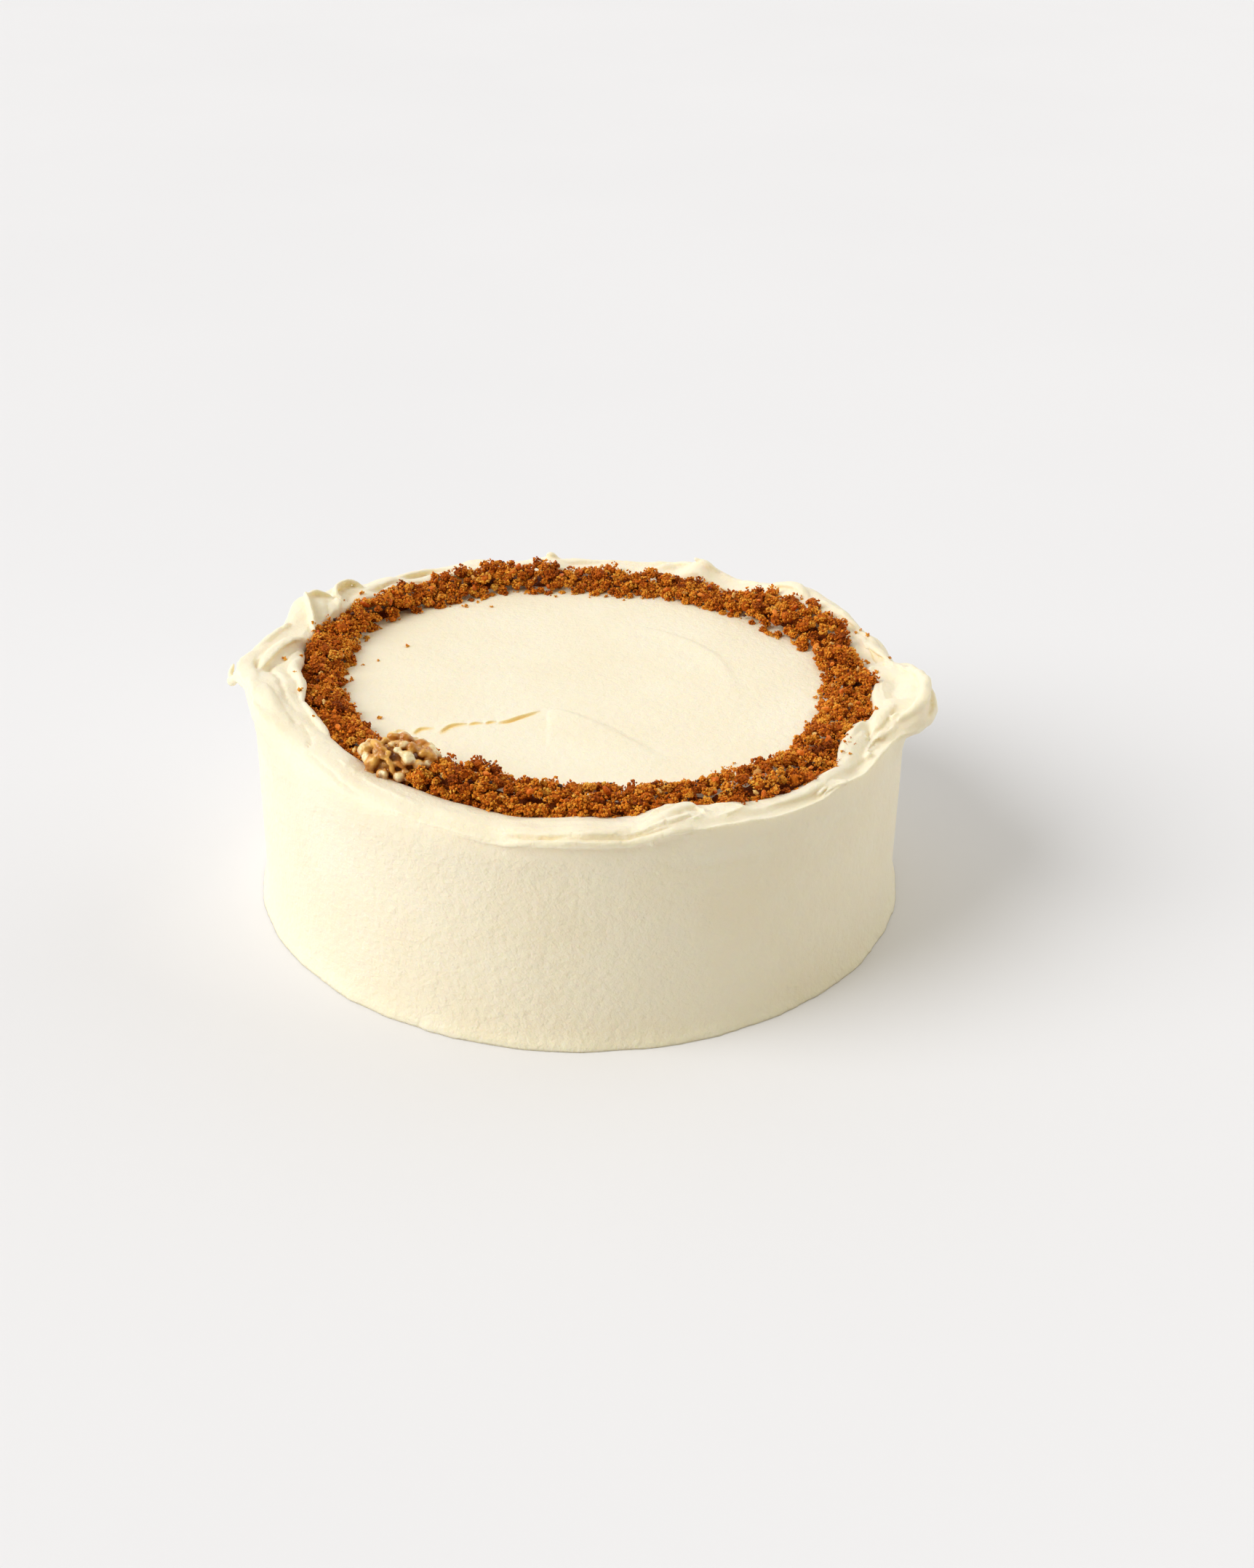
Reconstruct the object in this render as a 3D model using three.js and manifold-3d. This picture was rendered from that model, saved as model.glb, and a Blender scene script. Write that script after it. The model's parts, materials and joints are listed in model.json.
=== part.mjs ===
// Carrot cake: a round layer cake under cream-cheese frosting. A rough raised rim runs round the
// top, a ring of cake crumbs lies inside the rim, and one walnut half lies on the crumbs.
// Millimetres, +Z up. The origin is the centre of the base, and the front of the cake faces -Y.
// An azimuth is in degrees round the cake: 0 is the front, 90 the right side (+X), 180 the back.

import * as THREE from "three";
import { mergeVertices } from "three/addons/utils/BufferGeometryUtils.js";
import Module from "manifold-3d";

const wasm = await Module();
wasm.setup();

// ---------------------------------------------------------------- driving dimensions

const WALL_RADIUS = 108.7; // frosted side, straight up from foot to rim
const TOP_HEIGHT = 70; // smooth top inside the rim
const GAP = 0.3; // clearance kept between touching pieces
const CUT_GAP = 0.8 * GAP; // a little less where a cut makes it, so that no two faces coincide

const FOOT_FLARE = 2.0; // how far the frosting spreads where it meets the board
const FOOT_UNEVENNESS = 0.14; // share of the flare that comes and goes round the cake
const FOOT_HEIGHT = 8;

const RIM_HEIGHT = 73; // mean height of the rim's crest before its lobes
const RIM_FRONT_LIFT = 1.8; // the front crest is this much higher, the back one lower
const RIM_REACH = 1.0; // the lip's overhang past the wall
const RIM_INNER_RADIUS = 97; // where the rim's inner slope meets the smooth top
const RIM_CREST_INSET = 4.6; // from the rim's outermost point in to its crest
const LIP_DEPTH = 2.6; // from the crest down to the lip's lower edge
const LIP_THICKNESS = 1.3;
const LIP_MOST_LEAN = 1.2; // the wall leans out by this much at most under a wide lobe
const RIM_BAND_SLOPE = 0.4; // the band falls this much from its crest to its inner edge
const RIM_ROUGHNESS = 0.7; // depth of the palette-knife ripples along the rim

const CRUMB_INNER_RADIUS = 81;
const CRUMB_HEAP_HEIGHT = 4.4; // packed crumbs below the loose clumps
const CRUMB_HEAP_ROUGHNESS = 1.1; // how far the packed surface rises and dips
const CRUMB_CLUMPS = 112;
const CRUMB_CLUMP_SMALL = 2.0; // half sizes of a clump
const CRUMB_CLUMP_LARGE = 4.0;
const CRUMB_OUTER_INSET = 4.5; // clumps keep this far from the rim

const WALNUT_LENGTH = 25;
const WALNUT_WIDTH = 20;
const WALNUT_DOME = 9.4; // lobed side, above the widest line
const WALNUT_BELLY = 3.2; // flatter side, below it
const WALNUT_PLACE = new THREE.Vector3(-56, -66, 76);
const WALNUT_TURN = -12; // degrees about the upright axis

// Lobes of the rim. Azimuth and half width are in degrees. rise lifts the crest, reach pushes the
// outermost point past the wall, drop hangs the lip lower and fold pushes the inner edge over the
// crumbs, all in millimetres.
const RIM_LOBES = [
  { name: "left swell", at: -89, width: 31, rise: 6.0, reach: 2.4, drop: 0, fold: 1.0 },
  { name: "left tab", at: -88, width: 2.6, rise: -0.6, reach: 4.4, drop: 0, fold: 0 },
  { name: "left inner flap", at: -80, width: 7, rise: 0.4, reach: 0, drop: 0, fold: 2.0 },
  { name: "left notch", at: -104, width: 4.5, rise: -0.6, reach: -1.6, drop: 0, fold: 0 },
  { name: "first curl", at: -116, width: 4.4, rise: 5.0, reach: 0.6, drop: 0, fold: 2.0 },
  { name: "second curl", at: -127, width: 4.0, rise: 2.6, reach: 0.3, drop: 0, fold: 2.4 },
  { name: "third curl", at: -138, width: 4.0, rise: 1.8, reach: 0.2, drop: 0, fold: 2.0 },
  { name: "fourth curl", at: -153, width: 4.5, rise: 1.2, reach: 0.2, drop: 0, fold: 1.0 },
  { name: "back point", at: -174, width: 2.2, rise: 0.9, reach: 0, drop: 0, fold: 0 },
  { name: "tall point", at: 155, width: 2.3, rise: 2.4, reach: 0.2, drop: 0, fold: 0.6 },
  { name: "round lobe", at: 132, width: 3.2, rise: 1.6, reach: 0.4, drop: 0, fold: 0.6 },
  { name: "back right swell", at: 125, width: 9, rise: 4.0, reach: 0.4, drop: 0, fold: 0 },
  { name: "scoop behind the flap", at: 102, width: 4.5, rise: -2.0, reach: 0.4, drop: 0, fold: -1 },
  { name: "right flap", at: 81, width: 11, rise: 3.8, reach: 7.4, drop: 4.4, fold: 0 },
  { name: "flap roll", at: 64, width: 4.5, rise: 0.4, reach: 0.8, drop: 0, fold: 0.8 },
  { name: "front right roll", at: 34, width: 9, rise: -0.6, reach: 0.4, drop: 0, fold: 0.4 },
  { name: "front fold", at: 13, width: 6, rise: 1.6, reach: 0.4, drop: 0, fold: 0.8 },
  { name: "front band", at: 0, width: 24, rise: 0, reach: 0, drop: 0, fold: 1.0 },
  { name: "front left shoulder", at: -56, width: 14, rise: 1.6, reach: 0, drop: 0, fold: 4.4 },
  { name: "front left band", at: -25, width: 11, rise: 0, reach: 0, drop: 0, fold: 3.8 },
  { name: "fold by the crescents", at: 22, width: 5, rise: 0, reach: 0, drop: 0, fold: 2.4 },
  { name: "open front right", at: 43, width: 10, rise: 0, reach: 0, drop: 0, fold: -2.6 },
];

// The smooth front left part of the rim is a rounded shoulder with no lip: where it starts and
// ends, how many degrees it takes to fade in, and how far in its crest lies.
const SHOULDER = { from: -58, to: -16, fade: 12, inset: 6 };

// On the front right the wall ends in a thin crisp edge with hardly any lip.
const CRISP = { from: 24, to: 64, fade: 10, drop: 2.2, reach: 0.3 };

// Where the crumb ring is wider or taller than elsewhere, in millimetres further in, up and out.
const CRUMB_DRIFTS = [
  { at: -26, width: 9, inward: 5.0, lift: 4.2, outward: 0 },
  { at: -11, width: 7, inward: 2.8, lift: 2.8, outward: -0.8 },
  { at: 5, width: 6, inward: 4.2, lift: 3.0, outward: 0 },
  { at: -45, width: 8, inward: 2.6, lift: 1.4, outward: 0 },
  { at: 16, width: 4, inward: 2.6, lift: 1.0, outward: 0 },
  { at: 28, width: 6, inward: 1.4, lift: 0.8, outward: 0 },
  { at: 44, width: 10, inward: -0.6, lift: 1.2, outward: 1.2 },
  { at: 90, width: 12, inward: -1.4, lift: 0, outward: 0 },
  { at: 101, width: 5, inward: -0.6, lift: 0, outward: -3.2 },
  { at: 108, width: 6, inward: -4.2, lift: 0.2, outward: 0.8 },
  { at: 122, width: 7, inward: 0.4, lift: 2.4, outward: 2.0 },
  { at: 150, width: 11, inward: 1.2, lift: -1.6, outward: -4.6 },
  { at: 168, width: 7, inward: 4.0, lift: -1.0, outward: -3.0 },
  { at: -176, width: 7, inward: 2.6, lift: -1.0, outward: -2.2 },
  { at: -161, width: 6, inward: -0.8, lift: 0.9, outward: 0 },
  { at: -122, width: 17, inward: -5.0, lift: 1.4, outward: 1.6 },
  { at: -118, width: 4, inward: 0, lift: 1.4, outward: 1.8 },
  { at: -98, width: 5, inward: 1.6, lift: 0, outward: -3.4 },
  { at: -68, width: 9, inward: 2.8, lift: 0.6, outward: -0.8 },
];

// The edge that the palette knife left across the smooth top: it rises from the left, peaks left
// of the centre and runs off to the front right. The frosting in front of it is higher.
const KNIFE_EDGE = new THREE.CatmullRomCurve3(
  [
    [-61, -33],
    [-46, -31],
    [-27, -26],
    [-12, -17.5],
    [2, -24],
    [13, -37.5],
    [32, -60],
  ].map(([x, y]) => new THREE.Vector3(x, y, 0))
);
const KNIFE_STEP = 0.8; // height of that edge
const KNIFE_STEP_WIDTH = 5;
const KNIFE_PATCH_LENGTH = 26; // how far the raised patch runs before it is level again
const SWEEP_RADIUS = 52; // faint arc that the knife left in the back right quarter
const SWEEP_HEIGHT = 0.5;
const SWEEP_WIDTH = 3.5;
const SWEEP_MIDDLE = { at: 130, width: 26 }; // azimuth of the arc's middle and its half length
const RELIEF_FADES = { from: 65, to: 78 }; // the top is level where the crumbs lie

// Mesh steps
const CAKE_STEPS = 120; // the crumb ring has the same steps, so the two never cross
const TOP_ROWS = [88, 79, 68, 58, 50, 40, 27, 13];
const KNIFE_SAMPLES = 40;
const WALNUT_DETAIL = 6;
const WELD = 1e-4; // corners closer than this are one

// ---------------------------------------------------------------- small helpers

const radians = THREE.MathUtils.degToRad;
const { lerp, smoothstep } = THREE.MathUtils;

/** Seeded random numbers from 0 to 1, the same in every run. */
function seededRandom(seed) {
  let state = seed >>> 0;
  return () => {
    state = (Math.imul(state, 1664525) + 1013904223) >>> 0;
    return state / 4294967296;
  };
}

/** Degrees from b to a, the short way round. */
function turnBetween(a, b) {
  return THREE.MathUtils.euclideanModulo(a - b + 180, 360) - 180;
}

/** Bell-shaped weight round the cake, 1 at the feature's own azimuth. */
function bell(azimuth, feature) {
  const away = turnBetween(azimuth, feature.at) / feature.width;
  return Math.exp(-0.5 * away * away);
}

/** Sum of one measure of all features at an azimuth. */
function total(features, measure, azimuth) {
  return features.reduce((sum, feature) => sum + feature[measure] * bell(azimuth, feature), 0);
}

/** A smooth uneven wave round the cake, about -1 to 1, from waves of whole turns. */
function unevenWave(seed, turns) {
  const random = seededRandom(seed);
  const phases = turns.map(() => random() * 2 * Math.PI);
  return (azimuth) => {
    const waves = turns.map((n, i) => Math.sin(n * radians(azimuth) + phases[i]));
    return waves.reduce((sum, wave) => sum + wave, 0) / Math.sqrt(turns.length);
  };
}

/** The point at a radius, azimuth and height. */
function polar(radius, azimuth, height) {
  const angle = radians(azimuth);
  return new THREE.Vector3(radius * Math.sin(angle), -radius * Math.cos(angle), height);
}

/** Triangulated geometry from points and corner numbers. */
function geometryOf(points, corners) {
  const geometry = new THREE.BufferGeometry().setFromPoints(points);
  geometry.setIndex(corners);
  return geometry;
}

/**
 * Skin between sections round the cake. sectionAt(azimuth) gives [radius, height] pairs that run
 * out along the underside, up the outside and back in over the top. A closed section makes a
 * ring. An open one gets a centre point below its first pair and above its last.
 */
function sweepRound(sectionAt, steps, closed) {
  const sections = Array.from({ length: steps }, (_, i) => sectionAt((360 * i) / steps));
  const rows = sections[0].length;
  const points = sections.flatMap((section, i) =>
    section.map(([radius, height]) => polar(radius, (360 * i) / steps, height))
  );
  const corners = [];
  const bands = closed ? rows : rows - 1;
  const below = points.length;
  const above = points.length + 1;
  for (let i = 0; i < steps; i++) {
    const here = i * rows;
    const next = ((i + 1) % steps) * rows;
    for (let row = 0; row < bands; row++) {
      const up = (row + 1) % rows;
      corners.push(here + row, next + row, next + up);
      corners.push(here + row, next + up, here + up);
    }
    if (!closed) {
      corners.push(below, next, here);
      corners.push(here + rows - 1, next + rows - 1, above);
    }
  }
  if (!closed) {
    points.push(new THREE.Vector3(0, 0, sections[0][0][1]));
    const inner = sections.map((section) => section[rows - 1][1]);
    points.push(new THREE.Vector3(0, 0, inner.reduce((sum, z) => sum + z, 0) / steps));
  }
  return geometryOf(points, corners);
}

/** A closed geometry as a solid that can be joined and cut. */
function toSolid(geometry) {
  const bare = geometry.clone();
  bare.deleteAttribute("normal");
  bare.deleteAttribute("uv");
  const merged = mergeVertices(bare, WELD);
  return new wasm.Manifold(
    new wasm.Mesh({
      numProp: 3,
      vertProperties: new Float32Array(merged.attributes.position.array),
      triVerts: new Uint32Array(merged.index.array),
    })
  );
}

/** The largest body of a solid as a geometry, without the scraps that a cut leaves loose. */
function toGeometry(solid) {
  const bodies = solid.decompose().sort((a, b) => b.volume() - a.volume());
  const mesh = bodies[0].getMesh();
  const geometry = new THREE.BufferGeometry();
  geometry.setAttribute("position", new THREE.BufferAttribute(mesh.vertProperties, 3));
  geometry.setIndex(new THREE.BufferAttribute(mesh.triVerts, 1));
  return geometry;
}

// ---------------------------------------------------------------- frosted cake

const crestWave = unevenWave(11, [9, 14, 23, 31]);
const reachWave = unevenWave(12, [7, 13, 21, 34]);
const foldWave = unevenWave(13, [8, 17, 29]);
const footWave = unevenWave(14, [5, 12, 19, 33]);

/** 1 on a stretch round the cake, 0 off it, with a fade at both ends. */
function stretchShare(azimuth, stretch) {
  const turn = turnBetween(azimuth, 0);
  const enter = smoothstep(turn, stretch.from - stretch.fade, stretch.from);
  const leave = smoothstep(turn, stretch.to, stretch.to + stretch.fade);
  return enter * (1 - leave);
}

/** The rim's main measures at an azimuth. */
function rimAt(azimuth) {
  const soft = stretchShare(azimuth, SHOULDER);
  const crisp = stretchShare(azimuth, CRISP);
  const rough = RIM_ROUGHNESS * lerp(1, 0.3, soft);
  const lobeReach = total(RIM_LOBES, "reach", azimuth);
  const reach = lerp(RIM_REACH + lobeReach, 0.6 * lobeReach, soft);
  const frontLift = RIM_FRONT_LIFT * Math.cos(radians(azimuth));
  const lobeRise = total(RIM_LOBES, "rise", azimuth);
  const outer = WALL_RADIUS + reach + 0.6 * rough * reachWave(azimuth);
  const depth = LIP_DEPTH + 0.3 * lobeRise + total(RIM_LOBES, "drop", azimuth);
  return {
    soft,
    crisp,
    crest: RIM_HEIGHT + frontLift + lobeRise + rough * crestWave(azimuth),
    outer: lerp(outer, WALL_RADIUS + CRISP.reach, crisp),
    inner: RIM_INNER_RADIUS - total(RIM_LOBES, "fold", azimuth) - rough * foldWave(azimuth),
    depth: lerp(depth, CRISP.drop, crisp),
  };
}

/** Section of the side: foot, wall, and the neck where the wall leans out under the rim. */
function wallSection(azimuth, rim) {
  const flare = FOOT_FLARE * (1 + FOOT_UNEVENNESS * footWave(azimuth));
  const lean = Math.min(0.45 * (rim.outer - WALL_RADIUS), LIP_MOST_LEAN);
  return [
    [WALL_RADIUS + flare, 0],
    [WALL_RADIUS + 0.85 * flare, 0.16 * FOOT_HEIGHT],
    [WALL_RADIUS + 0.25 * flare, 0.5 * FOOT_HEIGHT],
    [WALL_RADIUS, FOOT_HEIGHT],
    [WALL_RADIUS, 0.7 * TOP_HEIGHT],
    [WALL_RADIUS + lean, rim.crest - rim.depth - LIP_THICKNESS - lerp(0, 3, rim.soft)],
  ];
}

/** Section of the rim: lip, outermost point, crest, inner edge and the steep drop inside it. */
function rimSection(rim) {
  const lip = rim.crest - rim.depth;
  const lipRadius = lerp(WALL_RADIUS, rim.outer, 0.8);
  const blend = (sharp, rounded) => lerp(sharp, rounded, rim.soft);
  const crestRadius = rim.outer - blend(RIM_CREST_INSET, SHOULDER.inset);
  const edgeHeight = lerp(rim.crest - blend(0.8, 1.2), lip + 1.2, rim.crisp);
  return [
    [lipRadius, lip - blend(0.2, 2)],
    [blend(rim.outer, lipRadius - 0.8), lip + blend(0.8, 0.6)],
    [rim.outer - blend(1.2, 3), edgeHeight],
    [crestRadius, rim.crest],
    [lerp(crestRadius, rim.inner, 0.6), rim.crest - RIM_BAND_SLOPE],
    [rim.inner + 0.8, lerp(TOP_HEIGHT, rim.crest, 0.8)],
    [rim.inner, TOP_HEIGHT],
  ];
}

const knifePoints = KNIFE_EDGE.getPoints(KNIFE_SAMPLES);

/** How far a point is in front of the knife's edge. Behind it the distance is negative. */
function besideKnifeEdge(x, y) {
  let nearest = Infinity;
  let side = 0;
  for (let i = 1; i < knifePoints.length; i++) {
    const from = knifePoints[i - 1];
    const along = knifePoints[i].clone().sub(from);
    const share = ((x - from.x) * along.x + (y - from.y) * along.y) / along.lengthSq();
    const near = from.clone().addScaledVector(along, THREE.MathUtils.clamp(share, 0, 1));
    const away = Math.hypot(x - near.x, y - near.y);
    if (away < nearest) {
      nearest = away;
      side = Math.sign(along.y * (x - from.x) - along.x * (y - from.y));
    }
  }
  return side * nearest;
}

/** Relief of the smooth top: the raised patch in front of the knife's edge and the faint arc. */
function topRelief(x, y) {
  const ahead = besideKnifeEdge(x, y);
  const rise = smoothstep(ahead, -KNIFE_STEP_WIDTH, KNIFE_STEP_WIDTH);
  const fall = 1 - smoothstep(ahead, KNIFE_STEP_WIDTH, KNIFE_PATCH_LENGTH);
  const away = (Math.hypot(x, y) - SWEEP_RADIUS) / SWEEP_WIDTH;
  const sweep = bell(THREE.MathUtils.radToDeg(Math.atan2(x, -y)), SWEEP_MIDDLE);
  return KNIFE_STEP * rise * fall + SWEEP_HEIGHT * sweep * Math.exp(-0.5 * away * away);
}

/** Section of the smooth top, level again before it runs under the crumbs. */
function topSection(azimuth) {
  return TOP_ROWS.map((radius) => {
    const { x, y } = polar(radius, azimuth, 0);
    const open = 1 - smoothstep(radius, RELIEF_FADES.from, RELIEF_FADES.to);
    return [radius, TOP_HEIGHT + open * topRelief(x, y)];
  });
}

/** Whole section of the frosted cake. */
function cakeSection(azimuth) {
  const rim = rimAt(azimuth);
  return [...wallSection(azimuth, rim), ...rimSection(rim), ...topSection(azimuth)];
}

/** The side and rim with the clearance added, which cuts the toppings clear of the frosting. */
function clearanceSection(azimuth) {
  const rim = rimAt(azimuth);
  const lifted = rimSection(rim).map(([radius, height]) => [radius - CUT_GAP, height + CUT_GAP]);
  return [...wallSection(azimuth, rim), ...lifted];
}

// ---------------------------------------------------------------- crumb ring

const heapWave = unevenWave(21, [11, 19, 29]);
const innerWave = unevenWave(22, [10, 17, 27, 41]);
const heapRandom = seededRandom(23);

/** Inner edge, outer edge and height of the heap of crumbs at an azimuth. */
function heapAt(azimuth) {
  const inward = total(CRUMB_DRIFTS, "inward", azimuth);
  return {
    inner: CRUMB_INNER_RADIUS - inward - 0.9 * innerWave(azimuth),
    outer: rimAt(azimuth).inner - GAP + total(CRUMB_DRIFTS, "outward", azimuth),
    height: CRUMB_HEAP_HEIGHT + total(CRUMB_DRIFTS, "lift", azimuth) + 0.5 * heapWave(azimuth),
  };
}

/** Section of the packed heap: steeper inside, leaning against the rim outside. */
function heapSection(azimuth) {
  const { inner, outer, height } = heapAt(azimuth);
  const rough = () => CRUMB_HEAP_ROUGHNESS * (heapRandom() - 0.5);
  return [
    [inner, TOP_HEIGHT + GAP],
    [outer, TOP_HEIGHT + GAP],
    [outer, TOP_HEIGHT + 0.75 * height + rough()],
    [lerp(inner, outer, 0.72) + rough(), TOP_HEIGHT + height + 2 * rough()],
    [lerp(inner, outer, 0.4) + rough(), TOP_HEIGHT + 0.95 * height + 2 * rough()],
    [inner + 2.5 + rough(), TOP_HEIGHT + 0.62 * height + 1.5 * rough()],
  ];
}

/** One crumb clump: a twenty-sided lump with uneven corners. */
function crumbClump(random, size) {
  const lump = new THREE.IcosahedronGeometry(1, 0);
  lump.deleteAttribute("normal");
  lump.deleteAttribute("uv");
  const merged = mergeVertices(lump);
  const corners = merged.attributes.position;
  for (let i = 0; i < corners.count; i++) {
    const reach = size * (0.78 + 0.44 * random());
    corners.setXYZ(i, corners.getX(i) * reach, corners.getY(i) * reach, corners.getZ(i) * reach);
  }
  merged.scale(1, 0.8 + 0.4 * random(), 0.75 + 0.35 * random());
  merged.rotateX(random() * Math.PI);
  merged.rotateZ(random() * Math.PI);
  return merged;
}

/** Clumps spread evenly: one at each step of azimuth, its place across the heap by golden steps. */
function crumbClumps() {
  const random = seededRandom(31);
  const golden = (Math.sqrt(5) - 1) / 2;
  return Array.from({ length: CRUMB_CLUMPS }, (_, i) => {
    const azimuth = (360 * (i + 0.6 * random())) / CRUMB_CLUMPS;
    const across = (i * golden) % 1;
    const { inner, outer, height } = heapAt(azimuth);
    const size = lerp(CRUMB_CLUMP_SMALL, CRUMB_CLUMP_LARGE, random() ** 1.5);
    const mound = Math.sin(Math.PI * lerp(0.14, 0.72, across));
    const rise = TOP_HEIGHT + height * mound + size * (0.1 + 0.35 * random());
    const place = polar(lerp(inner + 0.5, outer - CRUMB_OUTER_INSET, across), azimuth, rise);
    return crumbClump(random, size).translate(place.x, place.y, place.z);
  });
}

// ---------------------------------------------------------------- walnut half

/** Lobed surface of the kernel: depth of its folds in a direction, 0 in a fold and 1 on a lobe. */
function walnutLobe(direction) {
  const { x, y, z } = direction;
  const seam = 1 - Math.exp(-((y / 0.14) ** 2));
  const along = Math.abs(Math.sin(4.1 * x + 1.5 * Math.sin(2.6 * y + 1.2 * z) + 0.4));
  const across = Math.abs(Math.sin(3.3 * y + 1.2 * Math.sin(3.4 * x - z) + 1.1));
  return seam * (0.35 + 0.65 * Math.sqrt(along * across));
}

/** The walnut half, grown by a margin where it is used to cut. */
function walnutGeometry(margin) {
  const kernel = new THREE.IcosahedronGeometry(1, WALNUT_DETAIL);
  kernel.deleteAttribute("normal");
  kernel.deleteAttribute("uv");
  const merged = mergeVertices(kernel);
  const places = merged.attributes.position;
  const direction = new THREE.Vector3();
  for (let i = 0; i < places.count; i++) {
    direction.fromBufferAttribute(places, i).normalize();
    const depth = direction.z > 0 ? WALNUT_DOME : WALNUT_BELLY;
    const lobe = lerp(0.8, 1.06, walnutLobe(direction));
    places.setXYZ(
      i,
      direction.x * (lobe * 0.5 * WALNUT_LENGTH + margin),
      direction.y * (lobe * 0.5 * WALNUT_WIDTH + margin),
      direction.z * (lobe * depth + margin)
    );
  }
  merged.rotateZ(radians(WALNUT_TURN));
  return merged.translate(WALNUT_PLACE.x, WALNUT_PLACE.y, WALNUT_PLACE.z);
}

// ---------------------------------------------------------------- assembly

const cakeClearance = toSolid(sweepRound(clearanceSection, CAKE_STEPS, false));

/** Crumb ring: the packed heap with its clumps, cut clear of the frosting and the walnut. */
function crumbRingGeometry() {
  let ring = toSolid(sweepRound(heapSection, CAKE_STEPS, true));
  for (const clump of crumbClumps()) {
    ring = ring.add(toSolid(clump));
  }
  return toGeometry(ring.subtract(cakeClearance).subtract(toSolid(walnutGeometry(GAP))));
}

/** Walnut half, cut clear of the frosting where it leans on the rim. */
function walnutHalfGeometry() {
  return toGeometry(toSolid(walnutGeometry(0)).subtract(cakeClearance));
}

/** A named mesh in its own colour. */
function namedMesh(name, geometry, color, roughness) {
  const material = new THREE.MeshStandardMaterial({ color, roughness, metalness: 0 });
  const mesh = new THREE.Mesh(geometry, material);
  mesh.name = name;
  return mesh;
}

const cake = new THREE.Group();
cake.name = "carrot_cake";
cake.add(
  namedMesh("frosted_cake", sweepRound(cakeSection, CAKE_STEPS, false), "#faf2db", 0.5),
  namedMesh("crumb_ring", crumbRingGeometry(), "#a5601f", 0.9),
  namedMesh("walnut_half", walnutHalfGeometry(), "#c69a5f", 0.6)
);

export default cake;
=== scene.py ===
# %% [markdown]
# # A frosted carrot cake
# The cake is a tall round layer cake under cream cheese frosting. Its side is scraped straight
# and its top is smoothed with a palette knife, which pushes spare frosting into a rough raised
# rim. A ring of crumbled cake lies inside the rim with one walnut half on it. Everything is built
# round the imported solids, in their frame: metres, Z up, the front of the cake towards -Y. The
# sizes below are in millimetres, because a cake is easier to think about that way.

# %% Load the frame
import json
import math

import bmesh
import bpy
import numpy as np
from mathutils import Matrix, Vector

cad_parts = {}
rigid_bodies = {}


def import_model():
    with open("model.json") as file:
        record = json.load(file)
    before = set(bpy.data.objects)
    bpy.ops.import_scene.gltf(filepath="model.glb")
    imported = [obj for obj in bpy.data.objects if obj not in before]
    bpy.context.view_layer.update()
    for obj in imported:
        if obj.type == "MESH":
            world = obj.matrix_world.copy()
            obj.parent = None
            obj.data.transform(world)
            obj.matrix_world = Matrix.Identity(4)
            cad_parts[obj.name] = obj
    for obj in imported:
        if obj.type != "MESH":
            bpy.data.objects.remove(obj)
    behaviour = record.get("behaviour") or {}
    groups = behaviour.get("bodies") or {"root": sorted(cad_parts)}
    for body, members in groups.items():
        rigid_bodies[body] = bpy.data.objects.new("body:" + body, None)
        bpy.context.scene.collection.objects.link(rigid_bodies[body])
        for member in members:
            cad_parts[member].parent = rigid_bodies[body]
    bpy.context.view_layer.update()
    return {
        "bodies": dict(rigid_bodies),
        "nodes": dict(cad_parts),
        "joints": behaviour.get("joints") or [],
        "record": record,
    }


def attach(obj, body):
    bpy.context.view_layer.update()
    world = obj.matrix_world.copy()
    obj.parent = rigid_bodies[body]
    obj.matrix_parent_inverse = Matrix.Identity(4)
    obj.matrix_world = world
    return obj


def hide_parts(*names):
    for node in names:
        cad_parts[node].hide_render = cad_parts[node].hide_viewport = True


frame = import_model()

MM = 0.001

# %% [markdown]
# ## Measures round the cake
# Frosting has no straight edges, so most measures change round the cake. An azimuth names a place
# in degrees: 0 is the front, 90 the right side, 180 the back. A bell curve gives a lobe its place
# and width, and a sum of a few sine waves with seeded phases gives an edge its unevenness. The
# solids are shaped by functions of the same kind, so this skin fits over them.

# %% Waves and bells
def smoothstep(value, low, high):
    share = np.clip((value - low) / (high - low), 0, 1)
    return share * share * (3 - 2 * share)


def mix(a, b, share):
    return a + (b - a) * share


def turn_between(a, b):
    return (np.asarray(a) - b + 180) % 360 - 180


def bell(azimuth, at, width):
    return np.exp(-0.5 * (turn_between(azimuth, at) / width) ** 2)


def seeded_numbers(seed, count):
    state, numbers = seed, []
    for _ in range(count):
        state = (state * 1664525 + 1013904223) % 2**32
        numbers.append(state / 2**32)
    return numbers


def uneven_wave(seed, turns):
    phases = [2 * math.pi * number for number in seeded_numbers(seed, len(turns))]

    def wave(azimuth):
        waves = [np.sin(n * np.radians(azimuth) + phase) for n, phase in zip(turns, phases)]
        return sum(waves) / math.sqrt(len(turns))

    return wave


def polar(radius, azimuth, height):
    """Points at a radius, an azimuth and a height."""
    angle = np.radians(azimuth)
    radius, angle, height = np.broadcast_arrays(radius, angle, height)
    return np.stack([radius * np.sin(angle), -radius * np.cos(angle), height], axis=-1)


# %% [markdown]
# Natural surfaces need noise that is smooth and the same in every run. Gradient noise gives each
# corner of a grid a fixed random slope and blends the slopes between the corners. Written with
# numpy it works on all points of a mesh at once.

# %% Smooth noise
GRID_PRIMES, SEED_STEP = np.array([73856093, 19349663, 83492791]), 2654435761


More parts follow.
